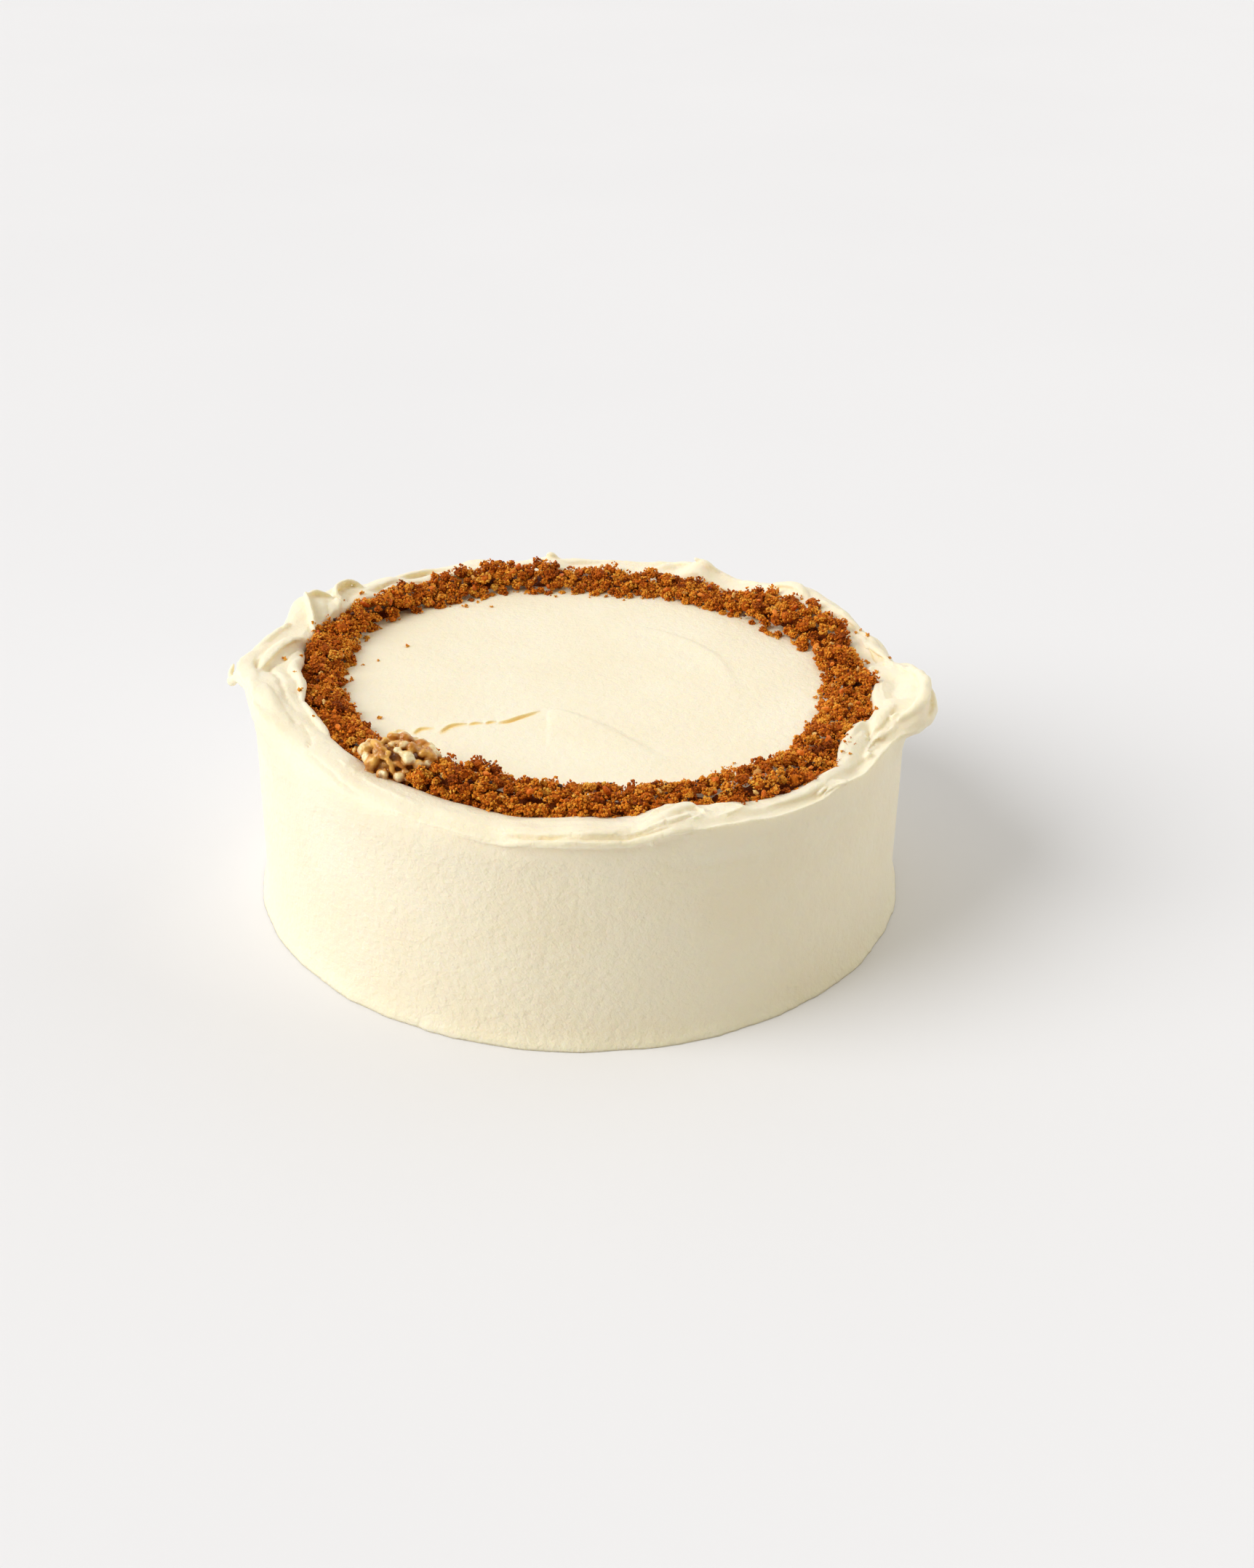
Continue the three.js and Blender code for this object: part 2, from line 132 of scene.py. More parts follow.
def noise(points, cell, seed=0):
    """Smooth noise, about -1 to 1, with lumps about one cell across."""
    place = np.asarray(points, dtype=float) / cell
    base = np.floor(place).astype(np.int64)
    part = place - base
    fade = part**3 * (part * (part * 6 - 15) + 10)
    total = np.zeros(len(place))
    for corner in np.ndindex(2, 2, 2):
        corner = np.array(corner)
        key = ((base + corner) * GRID_PRIMES).sum(axis=1) + seed * SEED_STEP
        slopes = []
        for turn in range(3):
            key = (key ^ (key >> 13)) * 1274126177 % 2**31
            slopes.append(key / 2**30 - 1)
        weight = np.where(corner == 1, fade, 1 - fade).prod(axis=1)
        total += weight * (np.stack(slopes, axis=1) * (part - corner)).sum(axis=1)
    return 1.6 * total


def rough_noise(points, cell, octaves, seed=0):
    """Noise with finer and weaker noise added on top."""
    total = 0
    for octave in range(octaves):
        total = total + noise(points, cell / 2**octave, seed + octave) / 2**octave
    return total


# %% [markdown]
# ## Meshes from arrays
# All pieces are made from arrays of corners and faces, then turned into Blender objects in one
# place. That is far faster than adding corners one by one. Later steps read the corners back,
# move them, or store a value for each of them, which a finish can use.

# %% From arrays to an object
def make_object(name, points, faces, material=None, smooth=True):
    mesh = bpy.data.meshes.new(name)
    mesh.from_pydata((np.asarray(points) * MM).tolist(), [], faces)
    mesh.polygons.foreach_set("use_smooth", [smooth] * len(mesh.polygons))
    mesh.validate()
    piece = bpy.data.objects.new(name, mesh)
    bpy.context.scene.collection.objects.link(piece)
    if material:
        mesh.materials.append(material)
    return piece


def triangle_count(piece):
    return sum(len(polygon.vertices) - 2 for polygon in piece.data.polygons)


def mesh_points(piece):
    points = np.zeros(len(piece.data.vertices) * 3)
    piece.data.vertices.foreach_get("co", points)
    return points.reshape(-1, 3) / MM


def mesh_normals(piece):
    normals = np.zeros(len(piece.data.vertices) * 3)
    piece.data.vertices.foreach_get("normal", normals)
    return normals.reshape(-1, 3)


def move_points(piece, points):
    piece.data.vertices.foreach_set("co", (points * MM).ravel())
    piece.data.update()


def shade_smooth(piece):
    piece.data.polygons.foreach_set("use_smooth", [True] * len(piece.data.polygons))


def store_values(piece, name, values):
    """One value for each corner of the mesh, which a finish reads by its name."""
    layer = piece.data.attributes.new(name, "FLOAT", "POINT")
    layer.data.foreach_set("value", values.astype(np.float32))


# %% [markdown]
# Many surfaces start as a grid: one column of corners for each step round the cake. Its faces
# join each column to the next, and the last column to the first. Some grids are also closed the
# other way, from their last row back to the first, which makes them a ring like a doughnut.

# %% Grids that go round the cake
def unit(vectors):
    return vectors / np.linalg.norm(vectors, axis=-1, keepdims=True)


def grid_normals(grid):
    """Normals of a grid of points [azimuth step, row], closed round the cake."""
    along = np.roll(grid, -1, axis=0) - np.roll(grid, 1, axis=0)
    up = np.gradient(grid, axis=1)
    normals = np.cross(along, up)
    return normals / np.maximum(np.linalg.norm(normals, axis=-1, keepdims=True), 1e-9)


def band_faces(first, steps, rows):
    """Four-sided faces of a grid whose corners are numbered from first, row by row in each step."""
    step, row = np.meshgrid(np.arange(steps), np.arange(rows - 1), indexing="ij")
    here = first + step * rows + row
    after = first + (step + 1) % steps * rows + row
    return np.stack([here, after, after + 1, here + 1], axis=-1).reshape(-1, 4)


def closed_band_faces(steps, rows):
    """The same faces, and a strip that joins the last row back to the first."""
    first = np.arange(steps) * rows
    last = first + rows - 1
    strip = np.stack([last, np.roll(last, -1), np.roll(first, -1), first], axis=1)
    return band_faces(0, steps, rows).tolist() + strip.tolist()


# %% [markdown]
# ## The frosting's section
# The side is 108.7 mm from the middle and straight. The spare frosting of the top hangs a little
# over it as a lip, rises to a crest and falls steeply to the level top, 70 mm up. The lobes below
# are the flaps and curls that the palette knife left, with their place and half width in degrees
# and their sizes in millimetres.

# %% Named sizes of the frosting
WALL_RADIUS = 108.7
TOP_HEIGHT = 70
FOOT_FLARE = 2.0
FOOT_UNEVENNESS = 0.14
FOOT_HEIGHT = 8
RIM_HEIGHT = 73
RIM_FRONT_LIFT = 1.8
RIM_REACH = 1.0
RIM_INNER_RADIUS = 97
RIM_CREST_INSET = 4.6
LIP_DEPTH = 2.6
LIP_THICKNESS = 1.3
LIP_MOST_LEAN = 1.2
RIM_BAND_SLOPE = 0.4
RIM_ROUGHNESS = 0.7
SHOULDER = (-58, -16, 12)  # from, to and fade of the smooth front left shoulder
SHOULDER_INSET = 6
CRISP = (24, 64, 10)  # the same where the side's top edge is a thin crisp line
CRISP_DROP, CRISP_REACH = 2.2, 0.3

RIM_LOBES = [  # place, half width, rise, reach, drop, fold
    ("left swell", -89, 31, 6.0, 2.4, 0, 1.0),
    ("left tab", -88, 2.6, -0.6, 4.4, 0, 0),
    ("left inner flap", -80, 7, 0.4, 0, 0, 2.0),
    ("left notch", -104, 4.5, -0.6, -1.6, 0, 0),
    ("first curl", -116, 4.4, 5.0, 0.6, 0, 2.0),
    ("second curl", -127, 4.0, 2.6, 0.3, 0, 2.4),
    ("third curl", -138, 4.0, 1.8, 0.2, 0, 2.0),
    ("fourth curl", -153, 4.5, 1.2, 0.2, 0, 1.0),
    ("back point", -174, 2.2, 0.9, 0, 0, 0),
    ("tall point", 155, 2.3, 2.4, 0.2, 0, 0.6),
    ("round lobe", 132, 3.2, 1.6, 0.4, 0, 0.6),
    ("back right swell", 125, 9, 4.0, 0.4, 0, 0),
    ("scoop behind the flap", 102, 4.5, -2.0, 0.4, 0, -1),
    ("right flap", 81, 11, 3.8, 7.4, 4.4, 0),
    ("flap roll", 64, 4.5, 0.4, 0.8, 0, 0.8),
    ("front right roll", 34, 9, -0.6, 0.4, 0, 0.4),
    ("front fold", 14, 6.5, 2.6, 0.4, 0, 1.6),
    ("front band", 0, 24, 0, 0, 0, 1.0),
    ("front left shoulder", -56, 14, 1.6, 0, 0, 4.4),
    ("front left band", -25, 11, 0, 0, 0, 3.8),
    ("fold by the crescents", 22, 5, 0.6, 0, 0, 2.4),
    ("open front right", 43, 10, 0, 0, 0, -2.6),
]
RISE, REACH, DROP, FOLD = 3, 4, 5, 6

crest_wave = uneven_wave(11, [9, 14, 23, 31])
reach_wave = uneven_wave(12, [7, 13, 21, 34])
fold_wave = uneven_wave(13, [8, 17, 29])
foot_wave = uneven_wave(14, [5, 12, 19, 33])


# %% [markdown]
# At each azimuth the lobes add up to the height of the crest, how far the rim reaches out and in,
# and how deep its lip hangs. From those come eight corner points of the rim's section.

# %% Rim measures at an azimuth
def lobes_total(measure, azimuth):
    return sum(lobe[measure] * bell(azimuth, lobe[1], lobe[2]) for lobe in RIM_LOBES)


def share_of(stretch, azimuth):
    """1 within a stretch of azimuths, fading to 0 beyond its ends."""
    start, end, fade = stretch
    turn = turn_between(azimuth, 0)
    return smoothstep(turn, start - fade, start) * (1 - smoothstep(turn, end, end + fade))


def rim_at(azimuth):
    """Crest height, outermost radius, inner radius and lip depth of the rim."""
    soft, crisp = share_of(SHOULDER, azimuth), share_of(CRISP, azimuth)
    rough = RIM_ROUGHNESS * mix(1, 0.3, soft)
    rise = lobes_total(RISE, azimuth)
    reach = lobes_total(REACH, azimuth)
    crest = RIM_HEIGHT + RIM_FRONT_LIFT * np.cos(np.radians(azimuth)) + rise
    crest = crest + rough * crest_wave(azimuth)
    outer = WALL_RADIUS + mix(RIM_REACH + reach, 0.6 * reach, soft)
    outer = outer + 0.6 * rough * reach_wave(azimuth)
    inner = RIM_INNER_RADIUS - lobes_total(FOLD, azimuth) - rough * fold_wave(azimuth)
    depth = LIP_DEPTH + 0.3 * rise + lobes_total(DROP, azimuth)
    return crest, mix(outer, WALL_RADIUS + CRISP_REACH, crisp), inner, mix(depth, CRISP_DROP, crisp)


def rim_outline(azimuth):
    """Corner points of the rim's section, from the neck under the lip to the level top."""
    crest, outer, inner, depth = rim_at(azimuth)
    soft, crisp = share_of(SHOULDER, azimuth), share_of(CRISP, azimuth)
    lip = crest - depth
    lean = np.minimum(0.45 * (outer - WALL_RADIUS), LIP_MOST_LEAN)
    lip_radius = mix(WALL_RADIUS, outer, 0.8)
    crest_radius = outer - mix(RIM_CREST_INSET, SHOULDER_INSET, soft)
    upper_radius, upper_height = outer - mix(1.2, 3, soft) - 0.6 * crisp, crest - mix(0.8, 1.2, soft)
    corners = [
        (WALL_RADIUS + lean, lip - LIP_THICKNESS - mix(0, 3, soft)),  # neck
        (lip_radius, lip - mix(0.2, 2, soft)),  # underside of the lip
        (mix(outer, lip_radius - 0.8, soft), lip + mix(0.8, 0.6, soft)),  # lip
        (upper_radius, mix(upper_height, lip + 0.6, crisp)),  # top of the lip
        (crest_radius, crest),
        (mix(crest_radius, inner, 0.6), crest - RIM_BAND_SLOPE),  # band
        (inner + 0.8, mix(TOP_HEIGHT, crest, 0.8)),  # brow above the crumbs
        (inner, TOP_HEIGHT + 0 * inner),  # where it meets the level top
    ]
    return np.stack([np.stack(corner, axis=-1) for corner in corners], axis=1)


# %% [markdown]
# The corner points alone would give a rim like folded card. Each section is walked in even steps
# and its corners are then rounded by a small blur along the section. Where the rim has a lip the
# blur is narrow, so the lip stays crisp, and on the smooth front left shoulder it is wide.

# %% Dense rounded sections
RIM_STEPS = 1200
RIM_ROWS = 54
CRISP_BLUR, SOFT_BLUR = 0.9, 3.6  # in rows
rim_azimuths = (np.arange(RIM_STEPS) * 360 / RIM_STEPS)[:, None]


def even_steps(outline, count):
    """Each section's outline walked in a number of even steps, and its length."""
    walked, total = np.zeros((len(outline), count, 2)), np.zeros(len(outline))
    for i, corners in enumerate(outline):
        lengths = np.linalg.norm(np.diff(corners, axis=0), axis=1)
        distance = np.concatenate([[0], np.cumsum(lengths)])
        stops = np.linspace(0, distance[-1], count)
        total[i] = distance[-1]
        for axis in range(2):
            walked[i, :, axis] = np.interp(stops, distance, corners[:, axis])
    return walked, total


def blur_rows(values, width):
    """Gaussian blur along the rows, with both end rows held."""
    reach = int(3 * width + 1)
    kernel = np.exp(-0.5 * (np.arange(-reach, reach + 1) / width) ** 2)
    kernel /= kernel.sum()
    low = 2 * values[:, :1] - values[:, reach:0:-1]
    high = 2 * values[:, -1:] - values[:, -2:-reach - 2:-1]
    padded = np.concatenate([low, values, high], axis=1)
    return sum(kernel[k] * padded[:, k:k + values.shape[1]] for k in range(2 * reach + 1))


walked_rim, section_length = even_steps(rim_outline(rim_azimuths[:, 0]), RIM_ROWS)
soft_share = share_of(SHOULDER, rim_azimuths)[:, :, None]
rim_sections = mix(blur_rows(walked_rim, CRISP_BLUR), blur_rows(walked_rim, SOFT_BLUR), soft_share)
rim_grid = polar(rim_sections[..., 0], rim_azimuths, rim_sections[..., 1])
shortest, longest = section_length.min().round(1), section_length.max().round(1)
print("the rim's sections are", shortest, "to", longest, "mm")

# %% [markdown]
# ## Ridges and creases of the knife
# The palette knife leaves ridges where a stroke ends and creases where one stroke laps over
# another. Each has a path on the rim: an azimuth, and a share of the way across from the lip (0)
# to the crumbs (1). Its height is given with the width of its slope towards the lip and towards
# the crumbs, so that one side can be sharp and the other soft. A crease has a height below zero.

# %% Table of the ridges and creases
RIDGES = {  # path, height, slope towards the lip, slope towards the crumbs
    "lip edge": ([(-24, .17), (-8, .11), (10, .09), (18, .12), (26, .13)], .8, .45, 1.5),
    "crisp edge": ([(16, .13), (34, .15), (50, .16), (66, .17), (76, .17)], .3, .3, .7),
    "valley behind the lip": ([(20, .29), (34, .3), (48, .3), (60, .31), (72, .32)], -.5, 1.0, 1.8),
    "upper lip": ([(-15, .31), (-8, .24), (0, .21), (8, .21), (13, .25), (17, .32), (20, .44)], .95, .4, 3.0),
    "gap under the upper lip": ([(-12, .24), (-6, .165), (2, .14), (10, .145), (15, .2)], -.6, .45, .45),
    "first crescent": ([(10, .44), (13.5, .6), (18.5, .63), (20.8, .5), (19.5, .36), (16, .25)], .85, .6, .8),
    "first crescent's hollow": ([(13.5, .4), (17.5, .46)], -.5, 1.9, 1.9),
    "second crescent": ([(22, .64), (25.5, .63), (27.8, .5), (25.5, .38), (22, .31)], .7, .55, .7),
    "second crescent's hollow": ([(22.5, .46), (25.5, .49)], -.35, 1.5, 1.5),
    "band line": ([(-26, .38), (-14, .36), (-4, .36), (7, .43)], .32, .5, 1.6),
    "low band line": ([(-33, .24), (-22, .2), (-13, .18)], .32, .4, 1.3),
    "right crest": ([(29, .62), (38, .56), (47, .55), (54, .6), (60, .68)], .8, 1.5, 1.5),
    "right crest line": ([(31, .44), (40, .43), (47, .44)], .4, .5, 1.1),
    "leaf top": ([(42, .34), (45.5, .3), (48.6, .22)], .95, .6, .6),
    "leaf middle": ([(42.6, .25), (45.8, .215), (48.9, .16)], .75, .4, .5),
    "leaf groove": ([(43, .29), (46, .25), (48.4, .19)], -.5, .35, .35),
    "swell by the crumbs": ([(50, .74), (58, .72), (64, .73), (70, .78)], 1.4, 2.2, 1.6),
    "crease in the swell": ([(56, .46), (61, .5), (65.5, .6), (68, .72)], -1.1, .7, .8),
    "floor of the crease": ([(60, .42), (64, .42), (69, .38)], -.9, .6, .8),
    "valley to the lip": ([(49, .4), (56, .37), (62, .33), (67, .3)], -.9, 1.3, 1.4),
    "wrinkle of the swell": ([(62.5, .6), (65, .56), (68, .56)], .6, .5, .5),
    "scoop": ([(77, .64), (84, .66), (91, .62)], -1.9, 3.8, 3.6),
    "brim of the scoop": ([(90, .93), (94.5, .8), (96, .62), (93, .48), (88, .42)], 1.0, .6, .7),
    "streak in the scoop": ([(76, .74), (84, .78), (90, .75)], .25, .5, .5),
    "wall behind the scoop": ([(96, .46), (102, .42), (108, .42), (114, .42)], .9, .8, 2.0),
    "smear behind the scoop": ([(98, .72), (103, .64), (109, .6)], .6, .5, 1.6),
    "back right line": ([(112, .55), (119, .52), (126, .56)], .5, .5, 1.4),
    "slope of the tall point": ([(151, .34), (146, .4), (140, .46)], .55, .5, 1.6),
    "back slope": ([(160, .42), (168, .4), (177, .42)], .5, .6, 1.6),
    "back line": ([(-178, .56), (-170, .5), (-162, .5)], .5, .6, 1.4),
    "hollow under the long lip": ([(-140, .84), (-147, .88), (-156, .9), (-163, .9)], -1.1, .9, 1.2),
    "hollow of the second curl": ([(-121.5, .66), (-124, .56), (-127, .58)], -1.1, 1.1, 1.2),
    "hollow of the first curl": ([(-112, .78), (-115, .62), (-118.5, .5)], -1.2, 1.1, 1.1),
    "left main crease": ([
        (-105, .8), (-98, .71), (-92.5, .63), (-89, .61), (-82.5, .54), (-77, .545), (-71, .59), (-64, .62),
    ], -1.1, 1.0, .8),
    "flap over the crease": ([(-86, .43), (-91, .43), (-96, .5), (-102, .68)], .9, 2.2, .7),
    "left smear": ([(-77, .42), (-71, .43), (-66, .46), (-62.5, .53)], -.6, 1.3, .7),
    "left low smear": ([(-63, .58), (-58.5, .52), (-55.5, .45), (-54, .35)], -.5, 1.2, .55),
    "long crease": ([(-54, .35), (-48, .32), (-42, .28), (-37, .26)], -.35, 1.2, .5),
    "shoulder line": ([(-50, .52), (-38, .47), (-27, .43)], .4, .5, 2.0),
    "outer left line": ([(-84, .24), (-74, .22), (-64, .23)], .5, .6, 1.8),
}
print(len(RIDGES), "ridges and creases are named")

# %% [markdown]
# Two helpers serve every path in this lesson: one draws a smooth curve through the given points,
# the other tells how far a place lies from the curve, on which side, and how far along it.

# %% Paths and places beside them
def smooth_path(points, steps):
    """Points of a smooth curve through the given ones, and the point number each is at."""
    points = np.asarray(points, dtype=float)
    ends = np.concatenate([[2 * points[0] - points[1]], points, [2 * points[-1] - points[-2]]])
    number = np.linspace(0, len(points) - 1, steps)
    span = np.minimum(number.astype(int), len(points) - 2)
    t = (number - span)[:, None]
    a, b, c, d = (ends[span + k] for k in range(4))
    square, cube = 2 * a - 5 * b + 4 * c - d, 3 * b - a - 3 * c + d
    curve = 0.5 * (2 * b + (c - a) * t + square * t**2 + cube * t**3)
    return curve, number


def beside_path(places, path):
    """Signed distance of each place from a path (positive on its right), and its share along it."""
    starts, steps = path[:-1], np.diff(path, axis=0)
    offset = places[:, None, :] - starts[None]
    share = np.clip((offset * steps).sum(axis=2) / (steps**2).sum(axis=1), 0, 1)
    away = np.linalg.norm(offset - share[..., None] * steps, axis=2)
    nearest = away.argmin(axis=1)
    pick = np.arange(len(places))
    step, gap = steps[nearest], offset[pick, nearest]
    side = np.sign(step[:, 1] * gap[:, 0] - step[:, 0] * gap[:, 1])
    return side * away[pick, nearest], (nearest + share[pick, nearest]) / len(steps)


# %% [markdown]
# A ridge has its full height on its path and slopes off on both sides like a bell. It fades out at
# its ends, and a little noise makes its course uneven. Broad ridges shape the grid of the rim here.
# Fine ones would be lost in it, so the same function adds them at the end to the finished skin.

# %% Height of the ridges
MM_PER_DEGREE = math.radians(1) * 105  # along the middle of the rim
FINE_SLOPE = 0.7  # a ridge with a slope narrower than this is fine
PATH_POINTS, RIDGE_ENDS = 40, 0.16  # steps of a path, and the share of it over which an end fades
RIDGE_WOBBLE = 0.45
rim_shares = np.linspace(0, 1, RIM_ROWS)[None, :]
across_mm = rim_shares * section_length[:, None]


def ridge_height(azimuth, across, points, fine):
    """Height of the fine or the broad ridges at places on the rim, and the nearest one's distance."""
    total, nearest = np.zeros(len(azimuth)), np.full(len(azimuth), np.inf)
    wobble = RIDGE_WOBBLE * noise(points, 5, seed=31)
    for path, height, to_lip, to_crumbs in RIDGES.values():
        if (min(to_lip, to_crumbs) < FINE_SLOPE) != fine:
            continue
        path = np.array(path, dtype=float)
        middle = path[:, 0].mean()
        near = np.abs(turn_between(azimuth, middle)) < np.ptp(path[:, 0]) / 2 + 5
        lengths = np.interp(path[:, 0] % 360, rim_azimuths[:, 0], section_length)
        path_mm = np.column_stack([(path[:, 0] - middle) * MM_PER_DEGREE, path[:, 1] * lengths])
        if path_mm[-1, 0] < path_mm[0, 0]:
            path_mm = path_mm[::-1]
        places = np.column_stack([turn_between(azimuth[near], middle) * MM_PER_DEGREE, across[near]])
        distance, share = beside_path(places, smooth_path(path_mm, PATH_POINTS)[0])
        nearest[near] = np.minimum(nearest[near], np.abs(distance))
        distance = distance + wobble[near]
        width = np.where(distance > 0, to_lip, to_crumbs)
        ends = smoothstep(share, 0, RIDGE_ENDS) * (1 - smoothstep(share, 1 - RIDGE_ENDS, 1))
        total[near] += height * ends * np.exp(-((distance / width) ** 2))
    return total, nearest


grid_azimuths = np.repeat(rim_azimuths[:, 0], RIM_ROWS)
broad_relief, _ = ridge_height(grid_azimuths, across_mm.ravel(), rim_grid.reshape(-1, 3), fine=False)
print("the broad ridges rise up to", broad_relief.max().round(2), "mm")

# %% [markdown]
# Between the named ones, small seeded smears break up the surface. A later smear covers an
# earlier one, so the relief is the highest of all smears at a point instead of their sum.

# %% Small smears
STROKES = 90
stroke_random = np.random.default_rng(5)


def stroke_relief(azimuth, share):
    """Height of the highest small smear at each azimuth and share across the rim."""
    highest = np.zeros(np.broadcast_shapes(azimuth.shape, share.shape))
    for _ in range(STROKES):
        middle = stroke_random.uniform(-180, 180)
        half_length = stroke_random.uniform(4, 14)
        start = stroke_random.uniform(0.2, 0.78)
        drift = stroke_random.uniform(-0.14, 0.14)
        width = stroke_random.uniform(0.07, 0.2)
        height = stroke_random.uniform(0.15, 0.6)
        sharp_side = stroke_random.choice([-1, 1])
        along = turn_between(azimuth, middle) / half_length
        across = sharp_side * (share - start - drift * along) / width
        profile = smoothstep(across, -1, 0.6) * (1 - smoothstep(across, 0.65, 1.05))
        ends = 1 - smoothstep(np.abs(along) ** 1.5 + 0.12 * across**2, 0.55, 1.0)
        height = height * mix(1, 0.3, share_of(SHOULDER, middle))
        highest = np.maximum(highest, height * profile * ends)
    return highest


# %% [markdown]
# The ridges, the smears and some noise add up to the relief. It fades out at both ends of the
# section, is weaker on the smooth shoulder, and moves each point of the rim along its normal.

# %% Relief of the rim
SMEAR_LEVEL = 0.15  # half the height of a small smear, so the relief keeps the rim's size
edge_fade = smoothstep(rim_shares, 0.02, 0.12) * (1 - smoothstep(rim_shares, 0.93, 1.0))
rough_share = mix(1, 0.4, share_of(SHOULDER, rim_azimuths))
relief = broad_relief.reshape(across_mm.shape) + stroke_relief(rim_azimuths, rim_shares)
relief += (0.3 * noise(rim_grid.reshape(-1, 3), 8, seed=3)).reshape(relief.shape) * rough_share
relief = (relief - SMEAR_LEVEL) * edge_fade
rim_normals = grid_normals(rim_grid)
rim_grid = rim_grid + rim_normals * relief[..., None]
print("the relief goes from", relief.min().round(2), "to", relief.max().round(2), "mm")

# %% [markdown]
# ## The side and the foot
# The side was scraped with a straight edge, so it waves by only a few tenths of a millimetre. At
# the foot the scraper pressed the frosting out into a thin ragged flare with small blobs. The
# radius is a function of place, because both the body and the rim's lower part need it.

# %% Radius of the side
def side_radius(azimuth, height):
    """Radius of the scraped side at an azimuth and a height."""
    azimuth, height = np.broadcast_arrays(azimuth, height)
    flare = FOOT_FLARE * (1 + FOOT_UNEVENNESS * foot_wave(azimuth))
    flare = flare * np.interp(height, [0, 1.28, 4, FOOT_HEIGHT], [1, 0.85, 0.25, 0])
    place = polar(WALL_RADIUS, azimuth, height).reshape(-1, 3)
    waves = 0.17 * noise(place * [1, 1, 1.6], 26, seed=42) + 0.06 * noise(place, 8, seed=43)
    lumps = 0.5 * np.maximum(noise(place, 4.0, seed=41), 0) * np.exp(-place[:, 2] / 2.0)
    push = waves * smoothstep(place[:, 2], 2, 12) + lumps
    return WALL_RADIUS + flare + push.reshape(height.shape)


# %% [markdown]
# The rim is a closed ring of its own. Below its lip it runs down the side and dips just under the
# side's surface, so the two meet at a flat angle that can't be seen. Inside the cake it closes
# through the body, where it is hidden.

# %% The rim as a closed ring
SKIRT_LEVELS = [-0.4, -0.24, -0.08, 0.05, 0.1, 0.1, 0.08]  # how far it stands out from the side
SKIRT_FROM = 56
FAR_RADII, HIDDEN_HEIGHTS = [103, 106.5], [69.0, 67.2, 64.0, 58.5]  # of the part inside the cake
neck_height = rim_sections[:, :1, 1]
neck_lean = np.hypot(rim_grid[:, :1, 0], rim_grid[:, :1, 1]) - WALL_RADIUS
skirt_share = np.linspace(0, 1, len(SKIRT_LEVELS) + 1)[None, :-1]
skirt_height = mix(SKIRT_FROM, neck_height, skirt_share)
skirt_radius = side_radius(rim_azimuths, skirt_height) + np.array(SKIRT_LEVELS)[None, :]
skirt_radius += neck_lean * smoothstep(skirt_share, 0.25, 1)
skirt_grid = polar(skirt_radius, rim_azimuths, skirt_height)
inner_foot = rim_sections[:, -1:, 0]
far_rows = [np.full_like(inner_foot, radius) for radius in FAR_RADII]
hidden_radius = np.concatenate([inner_foot + 0.4, inner_foot + 2.5, *far_rows], axis=1)
hidden_grid = polar(hidden_radius, rim_azimuths, np.array([HIDDEN_HEIGHTS]))
ring_grid = np.concatenate([skirt_grid, rim_grid, hidden_grid], axis=1)
ring_faces = closed_band_faces(RIM_STEPS, ring_grid.shape[1])
print("the rim's ring has", len(ring_faces), "faces")

# %% [markdown]
# ## Flaps, curls and nubs
# Where the knife lifted off, the frosting stands up in flaps and curls that lean over the crumbs
# or past the side. Relief can't overhang, so these are bodies of their own: flattened tubes with
# round ends along a short path. A path is given as azimuth, share across the rim and height above
# its surface. lean turns the flat side up from the surface: 0 lies flat and 90 stands on edge.

# %% A point on the rim
NORMAL_ROWS = 5  # rows on either side over which the surface's direction is averaged


def on_rim(azimuth, share, lift):
    """A point above the rim's surface, the surface's normal and its direction to the crumbs."""
    step = azimuth % 360 / 360 * RIM_STEPS
    row = share * (RIM_ROWS - 1)
    i, j = int(step) % RIM_STEPS, min(int(row), RIM_ROWS - 2)
    k, s, t = (i + 1) % RIM_STEPS, step - int(step), row - j
    low, high = (mix(rim_grid[i, row], rim_grid[k, row], s) for row in (j, j + 1))
    around = slice(max(j - NORMAL_ROWS, 0), j + NORMAL_ROWS + 1)
    normal = rim_normals[i, around].mean(axis=0)
    inward = rim_grid[i, around][-1] - rim_grid[i, around][0]
    return mix(low, high, t) + lift * normal / np.linalg.norm(normal), normal, inward


# %% [markdown]
# The tube's rings stand square to its path. They are closer together near the ends, where the
# tube rounds off, and a little noise thickens and thins it. Each end closes in a fan of triangles.

# %% One smear of frosting
SMEAR_STEPS, SMEAR_SIDES = 22, 16
TINY = 1e-9  # keeps a sign or a division from being zero


def read_off(values, stops, numbers):
    """Each column of values, read off at the stops between numbered values."""
    return np.stack([np.interp(stops, numbers, values[:, axis]) for axis in range(3)], axis=1)


def tube_faces():
    """Faces of a tube whose two end points are numbered last."""
    around = [(j, (j + 1) % SMEAR_SIDES) for j in range(SMEAR_SIDES)]
    starts = [i * SMEAR_SIDES for i in range(SMEAR_STEPS)]
    last, end = starts[-1], SMEAR_STEPS * SMEAR_SIDES
    faces = [(a + j, a + k, b + k, b + j) for a, b in zip(starts, starts[1:]) for j, k in around]
    for j, k in around:
        faces += [(end, k, j), (end + 1, last + j, last + k)]
    return faces


